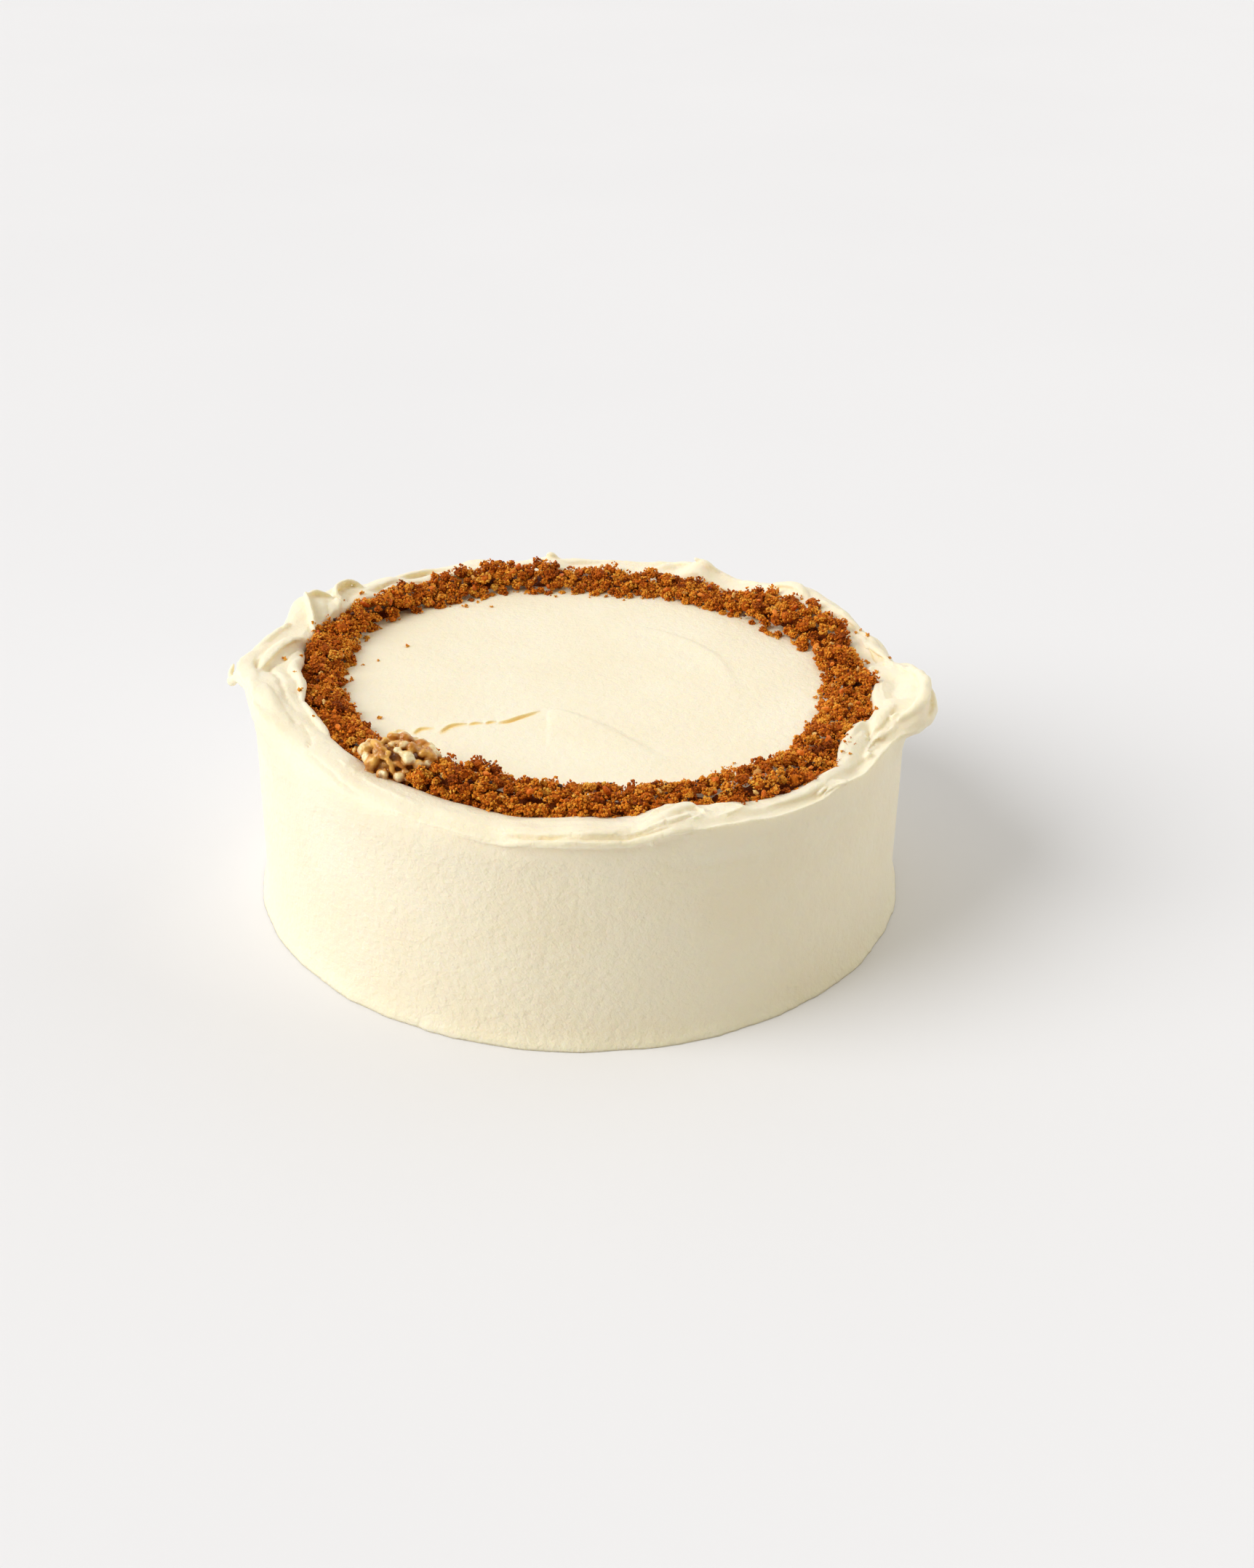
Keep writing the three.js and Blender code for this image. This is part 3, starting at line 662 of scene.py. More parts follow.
def smear_body(path, wide, thick, lean, tail, seed):
    """Points and faces of a flattened tube along a path on the rim."""
    frames = [on_rim(*step) for step in path]
    places, normals, inwards = (np.array([frame[k] for frame in frames]) for k in range(3))
    curve, number = smooth_path(places, 200)
    share = (1 - np.cos(np.linspace(0.02, 0.98, SMEAR_STEPS) * math.pi)) / 2
    stops = share * (len(path) - 1)
    knots = np.arange(len(path))
    middle = read_off(curve, stops, number)
    normal, inward = read_off(normals, stops, knots), read_off(inwards, stops, knots)
    ahead = unit(np.gradient(middle, axis=0))
    flat_side = np.cross(ahead, normal)
    flat_side *= np.sign((flat_side * inward).sum(axis=1, keepdims=True) + TINY)
    flat_side = unit(flat_side)
    up = np.cross(flat_side, ahead)
    up *= np.sign((up * normal).sum(axis=1, keepdims=True))
    angle = math.radians(lean)
    side = math.cos(angle) * flat_side + math.sin(angle) * up
    lift = math.cos(angle) * up - math.sin(angle) * flat_side
    swell = np.sin(share**tail * math.pi) ** 0.5
    turn = np.linspace(0, 2 * math.pi, SMEAR_SIDES, endpoint=False)
    ring = side[:, None] * (wide * swell[:, None, None] * np.cos(turn)[None, :, None])
    ring = ring + lift[:, None] * (thick * swell[:, None, None] * np.sin(turn)[None, :, None])
    points = (middle[:, None] + ring).reshape(-1, 3)
    unevenness = 0.3 * thick * noise(points, 3.2, seed)[:, None]
    points = points + unevenness * np.repeat(lift, SMEAR_SIDES, axis=0)
    points = np.concatenate([points, middle[:1], middle[-1:]])
    faces = tube_faces()
    if (np.cross(side, lift) * ahead).sum() < 0:
        faces = [face[::-1] for face in faces]
    return points, faces


# %% [markdown]
# Every smear has its own row in the table. They follow the rim clockwise from the left: a broad
# swell with a nub, four curls, the low back, the flap at the right with its rolled edge, and the
# folds at the front.

# %% Table of the smears
SMEARS = {  # path, half width, half thickness, lean, tail
    "left outer swell": ([(-60, .4, -.6), (-74, .36, .1), (-88, .36, .4), (-99, .38, -.2)], 3.3, 1.5, 0, 1.0),
    "left inner lobe": ([
        (-101, .87, -.2), (-94, .83, .5), (-87, .79, .9), (-80, .75, .7), (-72, .74, .1),
    ], 2.3, 1.6, -8, .9),
    "left lobe tip": ([(-91, .93, .2), (-87, .93, .8), (-84, .9, .5)], 1.3, 1.2, 0, 1.0),
    "left low lobe": ([(-74, .78, .1), (-66, .76, .5), (-57, .74, .1)], 2.2, 1.1, 0, 1.0),
    "left flap": ([(-104, .68, -.1), (-98, .58, .8), (-92, .48, .9), (-85, .42, .1)], 2.3, .9, 12, 1.0),
    "left swept fold": ([(-108, .28, -.1), (-100, .26, .6), (-91, .26, .5)], 1.8, 1.0, 0, 1.1),
    "left nub": ([(-85.5, .2, -.4), (-87.6, .16, 1.6), (-89.2, .12, 2.4)], 1.8, 1.5, 0, 1.0),
    "left nub tip": ([(-87.2, .2, 1.4), (-89.6, .18, 2.6), (-90.6, .2, 2.9)], 1.0, .9, 0, 1.0),
    "left nub drop": ([(-86.4, .06, .2), (-87.4, .04, 1.3), (-88.2, .02, 1.6)], .9, .8, 0, 1.0),
    "left nicks": ([(-104.5, .3, .1), (-106, .32, .8), (-107.4, .33, .5)], 1.0, .8, 0, 1.0),
    "first curl": ([
        (-106.5, .74, .2), (-109.3, .62, 1.4), (-112, .48, 2.4), (-113.8, .38, 2.3), (-115.6, .33, 1.0),
    ], 1.9, .8, 72, 1.0),
    "first curl's wall": ([(-114, .34, .8), (-117, .37, 1.3), (-120, .5, .6)], 1.5, .8, 55, 1.0),
    "first curl's fold": ([(-116.5, .78, .1), (-117.6, .66, .9), (-119.5, .56, .7)], 1.3, .9, 30, 1.0),
    "second curl": ([
        (-120.3, .66, .3), (-120.8, .5, 1.4), (-123, .4, 2.1), (-126.3, .4, 2.0), (-128.4, .52, .8),
    ], 1.6, .85, 66, 1.0),
    "third lobe": ([(-127.5, .6, -.1), (-132, .5, .8), (-137, .5, .7), (-141, .56, 0)], 2.9, 1.2, 16, 1.0),
    "third lobe's edge": ([(-129, .78, .1), (-134, .72, .6), (-140, .68, .3)], 1.5, .7, -15, 1.0),
    "back ridge": ([(-135.5, .5, .2), (-141, .44, 1.0), (-147, .46, .8), (-154, .56, .2)], 1.6, .9, 20, 1.0),
    "long lip": ([
        (-138.5, .6, .2), (-143, .7, .9), (-149, .77, 1.1), (-156, .8, 1.0), (-162, .82, .3),
    ], 2.1, .6, -4, 1.0),
    "long lip's scallop": ([(-143, .8, .8), (-146, .85, .9), (-149, .84, .8)], 1.2, .5, -15, 1.0),
    "far lip": ([(-158, .62, .1), (-165, .6, .6), (-172, .62, .1)], 2.0, .7, 5, 1.0),
    "back point": ([(-175, .42, .1), (-173.6, .4, .9), (-172.6, .38, 1.0)], 1.1, .9, 20, 1.0),
    "back smear": ([(176, .5, 0), (-178, .5, .5), (-170, .54, 0)], 2.0, .8, 0, 1.0),
    "bump by the point": ([(164, .62, 0), (162, .58, .7), (160, .55, .2)], 1.4, 1.0, 0, 1.0),
    "tall point": ([(150.5, .42, -.1), (153.5, .4, .5), (155.6, .4, .8)], 1.7, 1.2, 20, 1.2),
    "tall point's tip": ([(154, .44, .5), (155.6, .42, 1.1), (156.1, .42, 1.4)], .8, .8, 0, 1.0),
    "point slope": ([(157, .4, .5), (160, .4, .5), (165, .42, 0)], 1.6, .9, 10, 1.0),
    "round lobe": ([
        (139.5, .56, -.1), (135.5, .46, .9), (130.5, .46, 1.2), (126, .58, .3),
    ], 2.6, 1.2, 12, 1.0),
    "right back ridge": ([(124, .45, 0), (118, .42, .6), (111, .42, .1)], 1.8, .9, 10, 1.0),
    "right back nub": ([(115.6, .42, .2), (117, .43, 1.3), (117.8, .44, 1.7)], .8, .75, 0, 1.0),
    "smear by the scoop": ([(111, .6, 0), (104, .52, .6), (98, .5, .2)], 1.9, .8, 5, 1.0),
    "finger roll": ([
        (70, .4, .2), (76, .42, 1.0), (83, .42, 1.7), (89, .43, 1.6), (92, .46, .6),
    ], 2.2, 1.9, 0, .85),
    "outer wall of the flap": ([
        (66, .26, 0), (75, .25, .7), (84, .24, 1.0), (93, .27, .8), (98, .35, .1),
    ], 2.0, 1.3, 0, 1.0),
    "edge of the flap": ([(72, .12, 0), (80, .1, .7), (87, .1, .8), (92, .13, .2)], 1.3, .8, 0, 1.0),
    "flap tatter": ([(75.6, .08, .3), (76.8, .06, 1.1), (77.8, .04, 1.3)], .8, .7, 0, 1.0),
    "flap second tatter": ([(80.5, .06, .4), (81.6, .05, 1.2), (82.4, .03, 1.2)], .7, .6, 0, 1.0),
    "lobe by the crumbs": ([(54, .78, 0), (60, .78, .7), (66, .8, .8), (70.5, .84, .3)], 2.2, 1.4, 0, .9),
    "lobe's tip": ([(66.5, .86, .3), (69, .9, .9), (71.5, .93, .6)], 1.4, 1.1, 0, 1.0),
    "pillow": ([(66, .6, 0), (70, .62, .8), (75, .64, .2)], 2.2, 1.1, 0, 1.0),
    "shelf": ([(63, .46, .1), (66, .42, .6), (69.5, .36, .1)], 1.2, .7, 0, 1.0),
    "first nub": ([(57.6, .34, .3), (58.6, .33, 1.2), (59.6, .34, 1.0)], .95, .85, 0, 1.0),
    "second nub": ([(70.2, .5, .2), (71, .5, 1.1), (71.8, .5, .9)], .7, .65, 0, 1.0),
    "leaf": ([(42, .36, -.2), (45.6, .3, .5), (48.8, .2, .5)], 1.5, .7, 6, 1.2),
    "drip": ([(10.2, .1, .1), (10.6, .03, .9), (10.9, .0, 1.0)], .8, .6, 0, 1.0),
    "front fold": ([(9, .3, -.2), (13, .4, .5), (17.5, .56, .6), (20, .62, .1)], 1.5, .8, 0, 1.0),
    "under lip": ([(-14, .13, -.1), (-5, .08, .5), (5, .07, .6), (14, .1, .1)], 1.0, .6, 0, 1.0),
}
print(len(SMEARS), "smears are named")

# %% [markdown]
# The ring and its smears are put into one mesh. A voxel remesh then pours them into one skin, as
# if they were wet: overlaps vanish and joints become soft creases. A little smoothing takes away
# the steps of the voxels.

# %% Fuse the rim
RIM_VOXEL = 0.5
RIM_KEPT = 0.18  # share of the faces that is kept


def applied(piece):
    """The piece with its modifiers applied."""
    depsgraph = bpy.context.evaluated_depsgraph_get()
    made = bpy.data.meshes.new_from_object(piece.evaluated_get(depsgraph))
    piece.modifiers.clear()
    piece.data = made
    return piece


def pour_together(piece, voxel, rounds, kept=1.0):
    """Make one soft skin of a piece's overlapping bodies and keep a share of its faces."""
    remesh = piece.modifiers.new("pour together", "REMESH")
    remesh.mode = "VOXEL"
    remesh.voxel_size = voxel * MM
    soften = piece.modifiers.new("soften", "SMOOTH")
    soften.factor = 0.5
    soften.iterations = rounds
    if kept < 1:
        thin_out = piece.modifiers.new("fewer faces where it is smooth", "DECIMATE")
        thin_out.ratio = kept
    return applied(piece)


ring_points, ring_all = [ring_grid.reshape(-1, 3)], ring_faces
total = len(ring_points[0])
for number, smear in enumerate(SMEARS.values()):
    points, faces = smear_body(*smear, seed=number)
    ring_all += [tuple(corner + total for corner in face) for face in faces]
    ring_points.append(points)
    total += len(points)
rim = make_object("rim_ring", np.concatenate(ring_points), ring_all)
pour_together(rim, RIM_VOXEL, 3, RIM_KEPT)
print("the rim has", triangle_count(rim), "triangles")


# %% [markdown]
# ## The smooth top
# The last two strokes of the knife still show. One ran in from the left. Its edge tore the
# frosting into short lips: each stands up a little towards the back, ends in a steep front and
# has a hollow at its foot. The edge peaks left of the middle and then sinks to the front right as
# a soft crease, with slightly higher frosting in front of it. The other stroke left a faint arc
# in the back right quarter.

# %% Measures of the knife's strokes
KNIFE_EDGE = [
    (-61, -34), (-46, -32), (-37, -28), (-27, -26.4), (-14, -18.8), (-8.5, -18.8),
    (-2.8, -21.4), (3.1, -26.1), (8, -31), (15, -39), (23, -48), (31, -58),
]
CREASE_FROM, CREASE_FULL = 4, 5.5  # points of the edge where the crease begins and is full
TORN_LIPS = [  # path, height
    ([(-60.4, -36.6), (-59.2, -33.2), (-56.4, -33.1)], 0.5),
    ([(-54.3, -36), (-51.9, -32.3), (-47.2, -31.7)], 0.8),
    ([(-45.9, -35.3), (-42.3, -30.1), (-36.6, -28)], 0.9),
    ([(-36.7, -29), (-34.6, -27.8), (-31.8, -27.5)], 0.6),
    ([(-31.5, -28.1), (-29.9, -27), (-27.6, -26.2)], 0.6),
    ([(-27.3, -27.1), (-24, -26), (-20.5, -23.4), (-16.6, -20.7), (-13.6, -18.6)], 0.75),
]
LIP_RUN, LIP_FRONT, HOLLOW_WIDTH = 2.4, 0.35, 0.6
CREASE_HEIGHT = 0.8
SWEEP_AZIMUTH, SWEEP_HALF_WIDTH, SWEEP_RADIUS, SWEEP_HEIGHT = 128, 24, 52, 0.5
knife_path, _ = smooth_path(KNIFE_EDGE, 90)
print(len(TORN_LIPS), "torn lips are named")

# %% [markdown]
# The height of the top is a function of place. Each torn lip rises slowly and drops steeply. The
# crease is a low step, the arc a lower one, and broad noise keeps the rest from being a flat
# plate. The function also tells how deep a place lies in the slit at the foot of a lip, which sets
# how much shade is painted there.

# %% Relief of the top
def torn_relief(places):
    """Height of the torn lips at each x, y, and how much shade is painted in the hollow at their feet."""
    height, slit_shade = np.zeros(len(places)), np.zeros(len(places))
    for path, lip_height in TORN_LIPS:
        ahead, share = beside_path(places, smooth_path(path, 24)[0])
        ends = np.sin(math.pi * share**0.75) ** 0.7
        lip = np.exp(np.minimum(ahead, 0) / LIP_RUN) * (1 - smoothstep(ahead, -0.1, LIP_FRONT))
        foot = np.exp(-(((ahead - 0.7) / HOLLOW_WIDTH) ** 2))
        height = np.maximum(height, lip_height * ends * lip) - 0.45 * lip_height * ends * foot
        # Painted shade: how strongly the slit in front of the lip is coloured as a warm shadow.
        shade = np.exp(-(((ahead - 0.45) / (0.75 * lip_height + 0.15)) ** 2))
        slit_shade = np.maximum(slit_shade, shade * ends)
    return height, slit_shade


def top_relief(places):
    """Height of the smooth top above its level at each x, y, and the painted shade of its slits."""
    torn, slits = torn_relief(places)
    ahead, along = beside_path(places, knife_path)
    flat = np.column_stack([places, np.zeros(len(places))])
    crease = smoothstep(along * (len(KNIFE_EDGE) - 1), CREASE_FROM, CREASE_FULL)
    crease *= 1 - smoothstep(along, 0.8, 1.0)
    ahead = ahead + 0.4 * noise(flat, 9, seed=61)
    patch = smoothstep(ahead, -2.2, 1.2) * (1 - smoothstep(ahead, 3, 26))
    azimuth = np.degrees(np.arctan2(places[:, 0], -places[:, 1]))
    radius = np.hypot(places[:, 0], places[:, 1]) + 1.1 * noise(flat, 30, seed=62)
    sweep = bell(azimuth, SWEEP_AZIMUTH, SWEEP_HALF_WIDTH)
    sweep = sweep * smoothstep(radius, SWEEP_RADIUS - 8, SWEEP_RADIUS)
    sweep = sweep * (1 - smoothstep(radius, SWEEP_RADIUS, SWEEP_RADIUS + 1.8))
    broad = 0.25 * noise(flat, 34, seed=63) + 0.05 * noise(flat, 11, seed=64)
    return torn + CREASE_HEIGHT * patch * crease + SWEEP_HEIGHT * sweep + broad, slits


# %% [markdown]
# The body is the side, the foot, a hidden shoulder under the rim and the top. The top is a disc
# of rings. Rings near the middle need fewer corners, so the number of corners halves where a ring
# gets small. That keeps the faces about as wide as long.

# %% Side of the body
BODY_STEPS = 800
WALL_LEVELS = [0, 0.6, 1.3, 2.3, 4, 6.5, 10, 17, 27, 38, 48, 56, 61]
SHOULDER_RADII, SHOULDER_HEIGHTS = [107, 103, 98, 93], [64, 67.3, 69.2, 70]
UNDER_CRUMBS_RADIUS = 76
UNDER_CRUMBS_ROWS = 4

body_azimuths = (np.arange(BODY_STEPS) * 360 / BODY_STEPS)[:, None]
wall_heights = np.array(WALL_LEVELS, dtype=float)[None, :]
wall_grid = polar(side_radius(body_azimuths, wall_heights), body_azimuths, wall_heights)
shoulder_grid = polar(np.array([SHOULDER_RADII]), body_azimuths, np.array([SHOULDER_HEIGHTS]))
under_radii = np.linspace(SHOULDER_RADII[-1], UNDER_CRUMBS_RADIUS, UNDER_CRUMBS_ROWS + 1)[None, 1:]
under_grid = polar(under_radii, body_azimuths, float(TOP_HEIGHT))
side_grid = np.concatenate([wall_grid, shoulder_grid, under_grid], axis=1)
print("the body's side has", side_grid.shape[0], "columns of", side_grid.shape[1], "corners")

# %% [markdown]
# Each ring of the top is joined to the one before it. Where the number of corners halves, every
# second corner of the outer ring sits on an edge of the inner one, which takes three triangles.

# %% Rings of the top
RING_GAP = 0.85
HALVINGS = [UNDER_CRUMBS_RADIUS - 0.1, 38, 19]  # radii within which a ring has half the corners
INNERMOST_RING = 3


def corner_rows(*columns):
    return np.stack(columns, axis=1).tolist()


def body_mesh():
    """Points and faces of the side, the rings of the top and the underside."""
    rows = side_grid.shape[1]
    points, faces = [side_grid.reshape(-1, 3)], band_faces(0, BODY_STEPS, rows).tolist()
    last = np.arange(BODY_STEPS) * rows + rows - 1
    total = BODY_STEPS * rows
    for radius in np.arange(UNDER_CRUMBS_RADIUS - RING_GAP, INNERMOST_RING, -RING_GAP):
        count = BODY_STEPS // 2 ** sum(radius < limit for limit in HALVINGS)
        ring = total + np.arange(count)
        points.append(polar(radius, np.arange(count) * 360 / count, float(TOP_HEIGHT)))
        after = np.roll(ring, -1)
        if count == len(last):
            faces += corner_rows(last, np.roll(last, -1), after, ring)
        else:
            even, odd, end = last[::2], last[1::2], np.roll(last, -2)[::2]
            faces += corner_rows(even, odd, ring)
            faces += corner_rows(odd, after, ring)
            faces += corner_rows(odd, end, after)
        last = ring
        total += count
    points.append(np.array([[0, 0, TOP_HEIGHT], [0, 0, 0]]))
    faces += corner_rows(last, np.roll(last, -1), np.full(len(last), total))
    foot = np.arange(BODY_STEPS) * rows
    faces += corner_rows(np.full(len(foot), total + 1), np.roll(foot, -1), foot)
    return np.concatenate(points), faces


frosting = make_object("frosting", *body_mesh())
print("the plain body has", triangle_count(frosting), "triangles")

# %% [markdown]
# The torn lips are finer than the rings of the top, so the faces near the knife's edge are cut
# into sixteen each. Then every point of the top moves up or down to its height.

# %% Finer faces at the knife's edge
TORN_HALF_WIDTH, CUTS = 3.2, 3
TOP_FROM = 60  # everything above this height is top or rim
RELIEF_FADE = (66, 76)  # radii between which the relief fades out under the crumbs


def edges_among(mesh, near):
    """The edges whose two corners are both near."""
    return [edge for edge in mesh.edges if near[edge.verts[0].index] and near[edge.verts[1].index]]


def smooth_top(points):
    """Which points lie on the smooth top."""
    return (np.hypot(points[:, 0], points[:, 1]) < UNDER_CRUMBS_RADIUS) & (points[:, 2] > TOP_FROM)


fine = bmesh.new()
fine.from_mesh(frosting.data)
places = mesh_points(frosting)
from_edge, along_edge = beside_path(places[:, :2], knife_path)
near = (np.abs(from_edge) < TORN_HALF_WIDTH) & (places[:, 2] > TOP_FROM)
near &= along_edge * (len(KNIFE_EDGE) - 1) < CREASE_FULL + 1
bmesh.ops.subdivide_edges(fine, edges=edges_among(fine, near), cuts=CUTS, use_grid_fill=True)
fine.to_mesh(frosting.data)
fine.free()

points = mesh_points(frosting)
on_top = smooth_top(points)
shown = 1 - smoothstep(np.hypot(points[on_top, 0], points[on_top, 1]), *RELIEF_FADE)
points[on_top, 2] += shown * top_relief(points[on_top, :2])[0]
move_points(frosting, points)
print("the body has", triangle_count(frosting), "triangles")

# %% [markdown]
# A Boolean union joins the rim to the body, so the frosting is one closed skin.

# %% Join the rim to the body
union = frosting.modifiers.new("join the rim", "BOOLEAN")
union.operation = "UNION"
union.object = rim
union.solver = "MANIFOLD"
applied(frosting)
bpy.data.objects.remove(rim)
print("the joined frosting has", triangle_count(frosting), "triangles")

# %% [markdown]
# The voxels wash out everything finer than a millimetre, so the fine ridges and streaks are added
# afterwards. First each point of the rim is found again on its grid of sections, which gives its
# azimuth and how far across the rim it lies. Points of a smear are further off the grid.

# %% Find points on the rim
def place_on_rim(points):
    """Azimuth of each point, its distance across the rim and how far it is off the rim's grid."""
    azimuth = np.degrees(np.arctan2(points[:, 0], -points[:, 1]))
    step = np.round(azimuth % 360 / 360 * RIM_STEPS).astype(int) % RIM_STEPS
    profiles = np.stack([np.hypot(rim_grid[..., 0], rim_grid[..., 1]), rim_grid[..., 2]], axis=-1)
    starts, parts = profiles[step, :-1], np.diff(profiles, axis=1)[step]
    offset = np.column_stack([np.hypot(points[:, 0], points[:, 1]), points[:, 2]])[:, None] - starts
    share = np.clip((offset * parts).sum(axis=2) / (parts**2).sum(axis=2), 0, 1)
    away = np.linalg.norm(offset - share[..., None] * parts, axis=2)
    row = away.argmin(axis=1)
    pick = np.arange(len(points))
    across = (row + share[pick, row]) / (RIM_ROWS - 1) * section_length[step]
    return azimuth, across, away[pick, row]


# %% [markdown]
# The mesh has to be finer than a ridge to show it. Edges near a fine ridge are halved in a few
# rounds until they are short enough, and slivers are merged away. This comes after the union,
# because a Boolean works best on faces of an even size.

# %% Finer faces at the fine ridges
FINE_REACH, FINE_EDGE, HALVING_ROUNDS = 1.2, 0.5, 3
SLIVER = 0.06  # edges shorter than this are merged
RIM_FROM_RADIUS, RIM_FROM_HEIGHT = 86, 68


def rim_part(points):
    """Which points belong to the rim, and their places on it."""
    outside = np.hypot(points[:, 0], points[:, 1]) > RIM_FROM_RADIUS
    part = np.nonzero(outside & (points[:, 2] > RIM_FROM_HEIGHT))[0]
    return part, *place_on_rim(points[part])


for _ in range(HALVING_ROUNDS):
    points = mesh_points(frosting)
    part, azimuth, across, away = rim_part(points)
    _, nearest = ridge_height(azimuth, across, points[part], fine=True)
    near = np.zeros(len(points), dtype=bool)
    near[part] = (nearest < FINE_REACH) & (away < 1)
    fine = bmesh.new()
    fine.from_mesh(frosting.data)
    long_edges = [edge for edge in edges_among(fine, near) if edge.calc_length() > FINE_EDGE * MM]
    bmesh.ops.subdivide_edges(fine, edges=long_edges, cuts=1)
    bmesh.ops.triangulate(fine, faces=[face for face in fine.faces if len(face.verts) > 3])
    bmesh.ops.dissolve_degenerate(fine, dist=SLIVER * MM, edges=fine.edges)
    fine.to_mesh(frosting.data)
    fine.free()
print("with finer faces the frosting has", triangle_count(frosting), "triangles")

# %% [markdown]
# A streak is noise that is stretched along the rim, about eight times as long as wide. The fine
# ridges fade out on points that are off the rim's grid, because those belong to a smear.

# %% Fine ridges and streaks of the rim
STREAK_LENGTH, STREAK_WIDTH = 11, 1.3
all_points, all_normals = mesh_points(frosting), mesh_normals(frosting)
part, azimuth, across, away = rim_part(all_points)
points, normals = all_points[part], all_normals[part]
radius = np.hypot(points[:, 0], points[:, 1])
stretched = np.column_stack([
    azimuth * MM_PER_DEGREE / STREAK_LENGTH, radius / STREAK_WIDTH, points[:, 2] / STREAK_WIDTH,
])
streak = 0.11 * noise(stretched, 1, seed=8) + 0.07 * noise(points, 2.4, seed=9)
streak *= smoothstep(points[:, 2], 69, 72) * mix(1, 0.6, share_of(SHOULDER, azimuth))
ridge = ridge_height(azimuth, across, points, fine=True)[0] * (1 - smoothstep(away, 0.5, 1.2))
ridge *= smoothstep(across, 0.2, 1.2)
all_points[part] = points + normals * (streak + ridge)[:, None]
shade_smooth(frosting)
move_points(frosting, all_points)
print("streaks and fine ridges rise up to", (streak + ridge).max().round(2), "mm")

# %% [markdown]
# The frosting also gets a value for each point that says how deep it lies in a slit. The finish
# uses it to paint a warm shade there, the shadow in the narrow gap under each torn lip.

# %% Mark the slits
points = mesh_points(frosting)
on_top = smooth_top(points)
slit_shade_share = np.zeros(len(points))
slit_shade_share[on_top] = top_relief(points[on_top, :2])[1]
store_values(frosting, "slit_shade", slit_shade_share)
print("slits cover", (slit_shade_share > 0.5).sum(), "corners of the frosting")

# %% [markdown]
# ## Shader node groups
# Four effects are used by more than one finish, so each is a node group with its own inputs.
# They put out only colours, depths and heights. The shader itself stays in each material. First
# come helpers that make a group, add a node with its settings, and link sockets in pairs.

# %% Node helpers
FLOAT, COLOR = "NodeSocketFloat", "NodeSocketColor"
WHITE = (1, 1, 1, 1)


def new_group(name, inputs, output):
    """A node group with inputs (label, kind, default) and one output (label, kind)."""
    tree = bpy.data.node_groups.new(name, "ShaderNodeTree")
    for label, kind, default in inputs:
        socket = tree.interface.new_socket(label, in_out="INPUT", socket_type=kind)
        socket.default_value = default
    label, kind = output
    tree.interface.new_socket(label, in_out="OUTPUT", socket_type=kind)
    given, result = tree.nodes.new("NodeGroupInput"), tree.nodes.new("NodeGroupOutput")
    return tree, given.outputs, result.inputs[label]


def add_node(tree, kind, settings=None, values=None):
    made = tree.nodes.new(kind)
    for key, value in (settings or {}).items():
        setattr(made, key, value)
    for key, value in (values or {}).items():
        made.inputs[key].default_value = value
    return made


def wire(tree, *pairs):
    """Links from an output to an input, given in pairs."""
    for source, target in pairs:
        tree.links.new(source, target)


def object_place(tree):
    return add_node(tree, "ShaderNodeTexCoord").outputs["Object"]


def stored_value(tree, name):
    """The value stored for each corner of the mesh under this name."""
    return add_node(tree, "ShaderNodeAttribute", {"attribute_name": name}).outputs["Fac"]


def blend(tree, amount, first, second):
    """A mix of two colours. Each may be a socket or a plain colour."""
    made = add_node(tree, "ShaderNodeMix", {"data_type": "RGBA"})
    wire(tree, (amount, made.inputs["Factor"]))
    for label, color in (("A", first), ("B", second)):
        if isinstance(color, tuple):
            made.inputs[label].default_value = color
        else:
            wire(tree, (color, made.inputs[label]))
    return made.outputs["Result"]


# %% [markdown]
# Grain is the fine unevenness that frosting, crumb and kernel all have. It is a noise texture that
# puts out a height, and its size is given in cells per metre.

# %% Grain
grain, given, result = new_group(
    "grain", [("Cells per metre", FLOAT, 1000.0), ("Detail", FLOAT, 3.0)], ("Height", FLOAT),
)
grain_noise = add_node(grain, "ShaderNodeTexNoise", values={"Roughness": 0.6})
wire(
    grain,
    (object_place(grain), grain_noise.inputs["Vector"]),
    (given["Cells per metre"], grain_noise.inputs["Scale"]),
    (given["Detail"], grain_noise.inputs["Detail"]),
    (grain_noise.outputs["Fac"], result),
)
print("grain takes", list(given.keys())[:2])

# %% [markdown]
# No finish has one colour all over. Drift lets a colour wander to another in soft clouds: a coarse
# noise is spread to the full range and picks between the two.

# %% Drift
drift, given, result = new_group("drift", [
    ("One", COLOR, WHITE), ("Other", COLOR, WHITE), ("Cells per metre", FLOAT, 40.0),
], ("Color", COLOR))
drift_noise = add_node(drift, "ShaderNodeTexNoise", values={"Detail": 3.0, "Roughness": 0.55})
drift_range = add_node(
    drift, "ShaderNodeMapRange", {"interpolation_type": "SMOOTHSTEP"},
    {"From Min": 0.35, "From Max": 0.65},
)
wire(
    drift,
    (object_place(drift), drift_noise.inputs["Vector"]),
    (given["Cells per metre"], drift_noise.inputs["Scale"]),
    (drift_noise.outputs["Fac"], drift_range.inputs["Value"]),
    (blend(drift, drift_range.outputs["Result"], given["One"], given["Other"]), result),
)
print("drift takes", list(given.keys())[:3])

# %% [markdown]
# Baked crumb goes from dark to light brown. Tones turns a tone between 0 and 1 into a colour on
# the way from dark over middle to light: the lower half of the tone blends the first two, and the
# upper half blends the result with the third.

